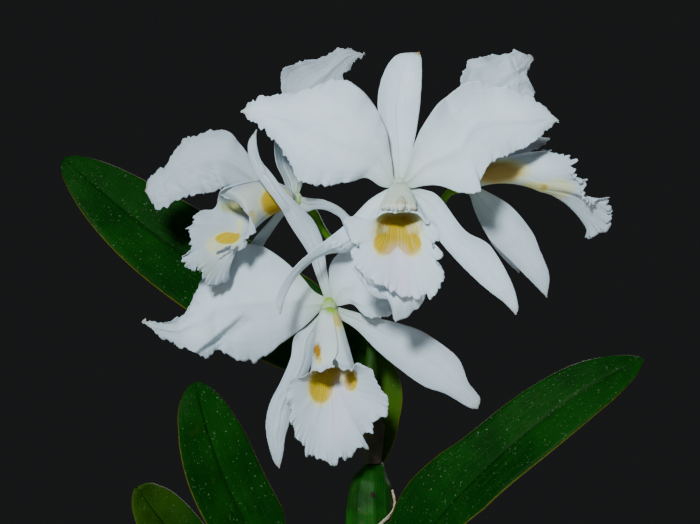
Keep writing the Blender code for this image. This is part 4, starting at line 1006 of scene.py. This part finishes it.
def densify(profile, step):
    """A profile with a point at least at every step, and its corners eased."""
    out = [profile[0]]
    for a, b in zip(profile, profile[1:]):
        n = max(1, int(math.hypot(b[0] - a[0], b[1] - a[1]) / step))
        out += [(a[0] + (b[0] - a[0]) * k / n, a[1] + (b[1] - a[1]) * k / n) for k in range(1, n + 1)]
    smooth = np.array(out, float)
    for _ in range(3):
        smooth[1:-1] = smooth[1:-1] * 0.5 + (smooth[:-2] + smooth[2:]) * 0.25
    keep = np.array(out, float)
    flat = (np.abs(keep[:, 1]) < 0.01) | (keep[:, 0] < 1)
    smooth[flat] = keep[flat]
    return smooth


def pot(look):
    """The turned pot with its rolled rim and six drain holes."""
    foot, rim, wall = POT_FOOT_RADIUS, POT_RIM_RADIUS, POT_WALL
    profile = [(0, 0), (foot, 0), (foot + 1.5, 2), (rim - 5, POT_HEIGHT - 16), (rim - 0.5, POT_HEIGHT - 14),
               (rim, POT_HEIGHT - 2), (rim - 1.5, POT_HEIGHT), (rim - 4, POT_HEIGHT),
               (rim - 5.5, POT_HEIGHT - 3),
               (foot - wall + 1.5, POT_FLOOR + 2), (foot - wall - 0.5, POT_FLOOR), (0, POT_FLOOR)]
    body = turned("pot_clay_body", densify(profile, 1.8), 128, look, 0.12)
    drills = []
    for k in range(DRAIN_COUNT):
        turn = 2 * math.pi * (k + 0.5) / DRAIN_COUNT
        drill = turned(f"drill_{k}", [(0, -5), (DRAIN_RADIUS, -5), (DRAIN_RADIUS, 12), (0, 12)], 40, look)
        shift = (DRAIN_CIRCLE * math.cos(turn) * MM, DRAIN_CIRCLE * math.sin(turn) * MM, 0)
        drill.data.transform(Matrix.Translation(shift))
        cut = body.modifiers.new("cut", "BOOLEAN")
        cut.operation, cut.object, cut.solver = "DIFFERENCE", drill, "EXACT"
        drills.append(drill)
    graph = bpy.context.evaluated_depsgraph_get()
    data = bpy.data.meshes.new_from_object(body.evaluated_get(graph))
    body.modifiers.clear()
    body.data = data
    for drill in drills:
        bpy.data.objects.remove(drill)
    data.shade_smooth()
    data.set_sharp_from_angle(angle=math.radians(50))
    wear(body, "pot", slot="pot_clay")


def chip(rng):
    """The points and faces of one rough flat piece of bark, in millimetres."""
    mesh = bmesh.new()
    bmesh.ops.create_cube(mesh, size=1)
    bmesh.ops.subdivide_edges(mesh, edges=mesh.edges[:], cuts=3, use_grid_fill=True)
    size = Vector((rng.uniform(10, 21), rng.uniform(6, 12), rng.uniform(3, 6.5)))
    shift = Vector([rng.uniform(0, 50) for _ in range(3)])
    skew = rng.uniform(-0.25, 0.25)
    for vertex in mesh.verts:
        p = vertex.co.copy()
        p *= 1 - 0.16 * (p.length - 0.5)
        p.x += skew * p.y
        p = Vector([v * s for v, s in zip(p, size)])
        p += noise.noise_vector(p * 0.16 + shift) * 1.9
        p += noise.noise_vector(Vector((p.x * 0.2, p.y * 0.9, p.z * 0.9)) + shift) * 0.8
        vertex.co = p
    points = [tuple(v.co) for v in mesh.verts]
    mesh.verts.index_update()
    faces = [[v.index for v in f.verts] for f in mesh.faces]
    mesh.free()
    return points, faces


def bark(look):
    """The potting bark: a rough filling, and chips bedded in its surface."""
    top = POT_RIM_RADIUS - 5.5 - GAP - (POT_HEIGHT - 3 - BARK_TOP) * 0.17
    low = POT_FOOT_RADIUS - POT_WALL - 0.5 - GAP
    profile = [(0, POT_FLOOR + GAP), (low - 1, POT_FLOOR + GAP), (top - 1.2, FILLING_TOP), (0, FILLING_TOP)]
    filling = turned("bark_filling", densify(profile, 3), 96, look)
    for vertex in filling.data.vertices:
        if vertex.co.z > (BARK_TOP - 4) * MM and vertex.co.xy.length < (top - 2) * MM:
            vertex.co.z += noise.noise(vertex.co / MM * 0.12) * 1.4 * MM
    wear(filling, "bark", slot="bark_brown")
    points, faces = [], []
    # noise_vector takes its offsets from the clock unless a seed is set
    noise.seed_set(SEED)
    rng = random.Random(SEED)
    samples = curve(rhizome_route(), np.linspace(0, 1, 60))[:, :2]
    for _ in range(CHIPS):
        radius = (top - 9) * math.sqrt(rng.random())
        turn = rng.uniform(0, 2 * math.pi)
        x, y = radius * math.cos(turn), radius * math.sin(turn)
        # Chips under the creeping stem and about the roots lie lower
        stem = np.hypot(samples[:, 0] - x, samples[:, 1] - y).min()
        root = min(math.hypot(a - x, b - y) for a, b in ROOTS)
        lift = 1.2 if stem > 15 and root > 9 else -2.4
        some, flat = chip(rng)
        place = (Matrix.Translation((x, y, BARK_TOP + lift + rng.uniform(-1.5, 0.8)))
                 @ Matrix.Rotation(rng.uniform(0, math.tau), 4, "Z")
                 @ Matrix.Rotation(math.radians(rng.uniform(-22, 22)), 4, "X")
                 @ Matrix.Rotation(math.radians(rng.uniform(-18, 18)), 4, "Y"))
        first = len(points)
        points += [tuple(place @ Vector(p)) for p in some]
        faces += [[first + k for k in f] for f in flat]
    shade = []
    tones = random.Random(SEED + 1)
    per = len(points) // CHIPS
    for _ in range(CHIPS):
        tone = tones.random()
        shade += [(tone, tones.random(), 0, 1)] * per
    piece = new_object("bark_chips", points, faces, look, tint=shade)
    piece.data.set_sharp_from_angle(angle=math.radians(35))
    wear(piece, "bark", slot="bark_brown")


class Look:
    """A procedural material, built node by node."""

    def __init__(self, name, roughness):
        self.material = bpy.data.materials.new(name)
        self.material.use_nodes = True
        self.tree = self.material.node_tree
        self.shader = self.tree.nodes["Principled BSDF"]
        self.shader.inputs["Roughness"].default_value = roughness

    def node(self, kind, settings=(), **inputs):
        made = self.tree.nodes.new("ShaderNode" + kind)
        for key, value in dict(settings).items():
            setattr(made, key, value)
        for key, value in inputs.items():
            self.feed(made.inputs[key.replace("_", " ")], value)
        return made

    def feed(self, socket, value):
        if isinstance(value, bpy.types.NodeSocket):
            self.tree.links.new(value, socket)
        else:
            socket.default_value = value

    def math(self, operation, a, b=0.0, clamp=False):
        made = self.node("Math", {"operation": operation, "use_clamp": clamp})
        self.feed(made.inputs[0], a)
        self.feed(made.inputs[1], b)
        return made.outputs[0]

    def times(self, a, b, clamp=False):
        return self.math("MULTIPLY", a, b, clamp)

    def band(self, value, low, high):
        """From 0 at low to 1 at high, smoothly."""
        made = self.node("MapRange", {"interpolation_type": "SMOOTHSTEP"}, Value=value, From_Min=low,
                         From_Max=high)
        return made.outputs[0]

    def mix(self, share, a, b):
        made = self.node("Mix", {"data_type": "RGBA"})
        self.feed(made.inputs[0], share)
        self.feed(made.inputs[6], (*a, 1) if isinstance(a, tuple) else a)
        self.feed(made.inputs[7], (*b, 1) if isinstance(b, tuple) else b)
        return made.outputs[2]

    def over(self, colour, tone, share, strength):
        """The colour with a share of a tone laid over it."""
        return self.mix(self.times(share, strength), colour, tone)

    def flow(self):
        """The coordinates across and along a piece."""
        made = self.node("SeparateXYZ", Vector=self.node("UVMap", {"uv_map": "flow"}).outputs[0])
        return made.outputs[0], made.outputs[1]

    def place(self):
        """The place in the plant, in metres."""
        return self.node("TexCoord").outputs["Object"]

    def vector(self, x, y, z=0.0):
        made = self.node("CombineXYZ", X=x, Y=y, Z=z)
        return made.outputs[0]

    def noise(self, vector, scale, detail=3.0, roughness=0.5):
        made = self.node("TexNoise", Vector=vector, Scale=scale, Detail=detail, Roughness=roughness)
        return made.outputs[0]

    def streaks(self, across, along, detail=3.0):
        """Fine lines that run along a piece."""
        u, v = self.flow()
        return self.noise(self.vector(self.times(u, across), self.times(v, along)), 1.0, detail)

    def tint(self):
        """The four shares that a piece carries."""
        made = self.node("Attribute", {"attribute_name": "tint"})
        parts = self.node("SeparateColor", Color=made.outputs["Color"])
        return (*parts.outputs[:3], made.outputs["Alpha"])

    def bump(self, height, distance, under=None):
        made = self.node("Bump", Height=height, Distance=distance)
        if under is not None:
            self.feed(made.inputs["Normal"], under)
        return made.outputs[0]

    def finish(self, colour, normal, roughness=None, **constants):
        self.feed(self.shader.inputs["Base Color"], colour)
        self.feed(self.shader.inputs["Normal"], normal)
        if roughness is not None:
            self.feed(self.shader.inputs["Roughness"], roughness)
        for key, value in constants.items():
            self.shader.inputs[key.replace("_", " ")].default_value = value
        return self.material


def petal_look(name, level):
    """A white petal whose brightest colour is scaled by the level, which paints shade on a whole bloom."""
    g = Look(name, 0.5)
    yellow, lilac, green, ochre = g.tint()
    fine = g.streaks(64.0, 2.6)
    broad = g.streaks(15.0, 1.2, 2.0)
    cloud = g.noise(g.place(), 55.0, 3.0)
    low = (0.65 * level, 0.775 * level, 0.86 * level)
    high = (0.72 * level, 0.85 * level, 0.93 * level)
    colour = g.mix(g.band(cloud, 0.35, 0.7), low, high)
    # Painted shade: thin margins turn grey-blue, as if a dark backdrop showed through them
    thin = g.node("Attribute", {"attribute_name": "thin"}).outputs["Fac"]
    colour = g.mix(g.times(thin, 0.42, True), colour, (0.36 * level, 0.46 * level, 0.52 * level))
    colour = g.over(colour, (0.48, 0.58, 0.64), g.band(fine, 0.52, 0.70), 0.30)
    colour = g.over(colour, (0.52, 0.63, 0.62), g.band(broad, 0.5, 0.75), 0.16)
    lines = g.times(g.band(g.streaks(150.0, 1.5, 2.0), 0.50, 0.66), 0.15)
    deep = g.mix(g.band(yellow, 0.55, 0.9), (0.72, 0.68, 0.06), (0.50, 0.345, 0.0))
    colour = g.mix(g.times(yellow, g.math("SUBTRACT", 1.0, lines), True), colour, deep)
    colour = g.mix(lilac, colour, (0.62, 0.46, 0.68))
    colour = g.mix(green, colour, (0.24, 0.42, 0.03))
    # The ochre share carries the lips' own ochre and also the painted shade that some lip patches lay
    colour = g.mix(ochre, colour, (0.33, 0.165, 0.002))
    normal = g.bump(fine, 0.00016)
    normal = g.bump(broad, 0.00026, normal)
    normal = g.bump(g.noise(g.place(), 1500.0, 2.0), 0.00006, normal)
    dullness = g.math("ADD", 0.45, g.times(cloud, 0.2))
    return g.finish(colour, normal, dullness, Subsurface_Weight=0.12, Subsurface_Scale=0.002,
                    Specular_IOR_Level=0.12)


def leaf_look():
    """Dark green with faint veins, a pale margin and dust."""
    g = Look("leaf_green", 0.4)
    pale = g.tint()[0]
    u = g.flow()[0]
    off = g.times(g.math("ABSOLUTE", g.math("SUBTRACT", u, 0.5)), 2.0)
    veins = g.streaks(95.0, 3.0)
    cloud = g.noise(g.place(), 26.0, 4.0, 0.6)
    colour = g.mix(g.band(cloud, 0.35, 0.68), (0.001, 0.019, 0.0007), (0.003, 0.036, 0.0012))
    colour = g.over(colour, (0.004, 0.046, 0.0015), g.band(veins, 0.48, 0.66), 0.4)
    colour = g.mix(g.times(pale, g.band(cloud, 0.2, 0.5)), colour, (0.032, 0.080, 0.004))
    colour = g.over(colour, (0.0008, 0.009, 0.0008), g.band(off, 0.05, 0.012), 0.6)
    edge = g.math("ADD", off, g.times(g.math("SUBTRACT", g.streaks(4.0, 60.0), 0.5), 0.03))
    colour = g.mix(g.band(edge, 0.972, 0.990), colour, (0.085, 0.085, 0.008))
    dust = g.band(g.noise(g.place(), 850.0, 2.0), 0.66, 0.74)
    colour = g.over(colour, (0.12, 0.20, 0.10), dust, 0.5)
    blotch = g.band(g.noise(g.place(), 90.0, 2.0), 0.70, 0.78)
    colour = g.over(colour, (0.012, 0.03, 0.003), blotch, 0.4)
    normal = g.bump(veins, 0.00030)
    normal = g.bump(cloud, 0.0012, normal)
    dullness = g.math("ADD", 0.33, g.times(g.noise(g.place(), 140.0), 0.25))
    return g.finish(colour, normal, dullness, Specular_IOR_Level=0.03)


def stalk_look():
    """A streaked yellow-green stem, with painted shade low down."""
    g = Look("stalk_green", 0.45)
    streaks = g.streaks(22.0, 7.0)
    cloud = g.noise(g.place(), 120.0, 3.0)
    colour = g.mix(g.band(cloud, 0.35, 0.68), (0.045, 0.16, 0.006), (0.10, 0.25, 0.012))
    colour = g.over(colour, (0.14, 0.28, 0.02), g.band(streaks, 0.5, 0.7), 0.4)
    # Painted shade: the stem darkens below about 0.35 m, where it stands in shade
    up = g.node("SeparateXYZ", Vector=g.place()).outputs["Z"]
    colour = g.mix(g.band(up, 0.365, 0.335), colour, (0.010, 0.045, 0.003))
    spots = g.band(g.noise(g.place(), 700.0, 2.0), 0.66, 0.74)
    colour = g.over(colour, (0.13, 0.07, 0.03), spots, 0.5)
    return g.finish(colour, g.bump(streaks, 0.0003), Specular_IOR_Level=0.08)


def bulb_look():
    """Dark green with streaks, brown at the foot, and one brown spot."""
    g = Look("bulb_green", 0.5)
    streaks = g.streaks(30.0, 2.5)
    cloud = g.noise(g.place(), 70.0, 4.0)
    v = g.flow()[1]
    colour = g.mix(g.band(cloud, 0.3, 0.7), (0.002, 0.030, 0.001), (0.006, 0.068, 0.002))
    colour = g.over(colour, (0.02, 0.075, 0.006), g.band(streaks, 0.48, 0.68), 0.3)
    colour = g.mix(g.band(v, 0.18, 0.04), colour, (0.16, 0.10, 0.045))
    apart = g.node("VectorMath", {"operation": "DISTANCE"})
    g.feed(apart.inputs[0], g.place())
    g.feed(apart.inputs[1], BROWN_SPOT)
    reach = g.math("ADD", apart.outputs["Value"], g.times(g.noise(g.place(), 500.0), 0.003))
    colour = g.mix(g.band(reach, 0.0036, 0.0026), colour, (0.012, 0.006, 0.003))
    specks = g.band(g.noise(g.place(), 420.0, 2.0), 0.68, 0.76)
    colour = g.over(colour, (0.09, 0.05, 0.02), specks, 0.6)
    normal = g.bump(streaks, 0.0004)
    return g.finish(colour, g.bump(cloud, 0.0008, normal), Specular_IOR_Level=0.08)


def root_look():
    """Grey spongy skin with green patches."""
    g = Look("root_grey", 0.75)
    cloud = g.noise(g.place(), 240.0, 4.0, 0.65)
    colour = g.mix(g.band(cloud, 0.35, 0.65), (0.34, 0.34, 0.24), (0.56, 0.56, 0.46))
    green = g.band(g.noise(g.place(), 60.0, 2.0), 0.5, 0.65)
    colour = g.over(colour, (0.20, 0.28, 0.11), green, 0.6)
    return g.finish(colour, g.bump(cloud, 0.0006), Specular_IOR_Level=0.25)


def paper_look(name, dark, pale, fibre):
    """Dry papery skin with fibres along it."""
    g = Look(name, 0.7)
    fibres = g.streaks(70.0, 2.0, 4.0)
    cloud = g.noise(g.place(), 160.0, 3.0)
    colour = g.mix(g.band(cloud, 0.3, 0.7), dark, pale)
    colour = g.over(colour, fibre, g.band(fibres, 0.5, 0.68), 0.6)
    normal = g.bump(fibres, 0.0004)
    return g.finish(colour, g.bump(cloud, 0.0006, normal), Specular_IOR_Level=0.3)


def clay_look():
    """Turned clay with fine rings and grit, with salt near its rim and damp at its foot."""
    g = Look("pot_clay", 0.8)
    place = g.place()
    x, y, z = g.node("SeparateXYZ", Vector=place).outputs[:3]
    rings = g.noise(g.vector(g.times(x, 3.0), g.times(y, 3.0), g.times(z, 480.0)), 1.0)
    grit = g.noise(place, 900.0, 4.0, 0.7)
    cloud = g.noise(place, 24.0, 4.0, 0.6)
    colour = g.mix(g.band(cloud, 0.3, 0.7), (0.36, 0.135, 0.065), (0.50, 0.215, 0.115))
    colour = g.over(colour, (0.58, 0.29, 0.17), g.band(rings, 0.5, 0.7), 0.3)
    colour = g.over(colour, (0.24, 0.09, 0.05), g.band(grit, 0.60, 0.72), 0.5)
    salt = g.times(g.band(g.noise(place, 42.0, 5.0, 0.65), 0.52, 0.74), g.band(z, 0.06, 0.118))
    colour = g.over(colour, (0.62, 0.55, 0.47), salt, 0.7)
    damp = g.times(g.band(g.noise(place, 30.0, 3.0), 0.45, 0.65), g.band(z, 0.045, 0.0))
    colour = g.over(colour, (0.17, 0.10, 0.05), damp, 0.6)
    normal = g.bump(rings, 0.0004)
    return g.finish(colour, g.bump(grit, 0.0003, normal), Specular_IOR_Level=0.25)


def bark_look():
    """Brown grain whose tone changes from chip to chip."""
    g = Look("bark_brown", 0.9)
    tone, other = g.tint()[:2]
    place = g.place()
    fibre = g.node("Mapping", Vector=place, Scale=(90.0, 420.0, 420.0)).outputs[0]
    grain = g.noise(fibre, 1.0, 5.0, 0.65)
    cloud = g.noise(place, 130.0, 4.0, 0.6)
    colour = g.mix(g.band(grain, 0.3, 0.7), (0.028, 0.013, 0.007), (0.15, 0.068, 0.030))
    colour = g.over(colour, (0.24, 0.125, 0.06), tone, 0.55)
    colour = g.mix(g.times(g.band(cloud, 0.5, 0.7), g.band(other, 0.5, 1.0)), colour, (0.07, 0.05, 0.035))
    normal = g.bump(grain, 0.0009)
    return g.finish(colour, g.bump(cloud, 0.0012, normal), Specular_IOR_Level=0.2)


def floor_look():
    """A pale and nearly even floor."""
    g = Look("stage_pale", 0.85)
    cloud = g.noise(g.place(), 3.0, 3.0)
    colour = g.mix(cloud, (0.60, 0.60, 0.59), (0.66, 0.66, 0.65))
    return g.finish(colour, g.bump(g.noise(g.place(), 220.0), 0.0001))


# The dark spot on the front of the tall pseudobulb, in metres
BROWN_SPOT = (0.012, 0.003, 0.259)

# Each light: its name, place, aim, size, power and colour; the key stands a little left of the camera
LIGHTS = (
    ("key", (-0.30, -1.25, 0.98), (0, 0, 0.37), 0.2, 31, (0.90, 0.97, 1.0)),
    ("fill", (1.3, -0.9, 0.6), (0, 0, 0.34), 1.0, 1.4, (1.0, 0.97, 0.93)),
    ("back", (0.4, 1.3, 0.9), (0, 0, 0.34), 1.0, 10, (1.0, 0.98, 0.95)),
    ("side", (-1.4, 0.3, 0.5), (0, 0, 0.3), 1.0, 2, (1.0, 0.97, 0.93)),
)
BACKDROP = (0.012, 0.0125, 0.013, 1)
CAMERA_PLACE = (0, -1.1, 0.380)
LENS, SENSOR = 109, 36


def stage():
    """A plain pale floor, soft studio lights and the photograph's viewing angle."""
    floor = turned("floor", [(0, -4), (1250, -4), (1250, 0), (0, 0)], 128, floor_look())
    world = bpy.data.worlds.new("studio")
    bpy.context.scene.world = world
    world.use_nodes = True
    backing = world.node_tree.nodes["Background"]
    backing.inputs["Color"].default_value = BACKDROP
    backing.inputs["Strength"].default_value = 1.0
    for name, place, aim, size, power, colour in LIGHTS:
        data = bpy.data.lights.new(name, "AREA")
        data.size, data.energy, data.color = size, power, colour
        light = bpy.data.objects.new(name, data)
        light.location = place
        light.rotation_euler = (Vector(aim) - Vector(place)).to_track_quat("-Z", "Y").to_euler()
        bpy.context.scene.collection.objects.link(light)
    data = bpy.data.cameras.new("camera")
    data.lens, data.sensor_width = LENS, SENSOR
    camera = bpy.data.objects.new("camera", data)
    camera.location = CAMERA_PLACE
    camera.rotation_euler = (math.radians(90), 0, 0)
    bpy.context.scene.collection.objects.link(camera)
    bpy.context.scene.camera = camera


def main():
    """Every look and every piece of the plant, its pot and the stage."""
    # The two dimmer copies of the white look are painted shade for the low, right and left blooms, which sit
    # farther back or turn from the light
    white, mild_shade, soft = (petal_look(f"petal_{word}", level)
                         for word, level in (("white", 0.90), ("mild_shade", 0.74), ("soft", 0.60)))
    petals = {"bloom_top": white, "bloom_low": mild_shade, "bloom_left": soft, "bloom_right": mild_shade}
    green, stalk = leaf_look(), stalk_look()
    pseudobulb = bulb_look()
    paper = paper_look("dry_sheath", (0.40, 0.30, 0.17), (0.70, 0.62, 0.45), (0.27, 0.17, 0.08))
    # Near-black paper is painted shade for the sheath at the flower stem's foot, which stands in shadow; the
    # bracts use the same paper
    shade_dark_paper = paper_look("shade_dark_sheath", (0.012, 0.011, 0.004), (0.035, 0.030, 0.010), (0.02, 0.012, 0.005))
    for k, (name, spec) in enumerate(BLOOMS.items()):
        bloom(name, spec, petals[name], 100 * (k + 1))
    for k, (name, spec) in enumerate(LEAVES.items()):
        leaf(name, spec, green, 600 + k)
    stems(stalk, shade_dark_paper)
    bulbs(pseudobulb, root_look())
    stem_sheath(shade_dark_paper)
    husk("tall", 0.78, 20, 100, paper, 700)
    torn_strip(paper)
    husk("right", 0.62, -60, 120, paper, 710)
    husk("front", 0.55, -130, 130, paper, 720)
    husk("small", 0.6, -90, 125, paper, 730)
    pot(clay_look())
    bark(bark_look())
    stage()


main()
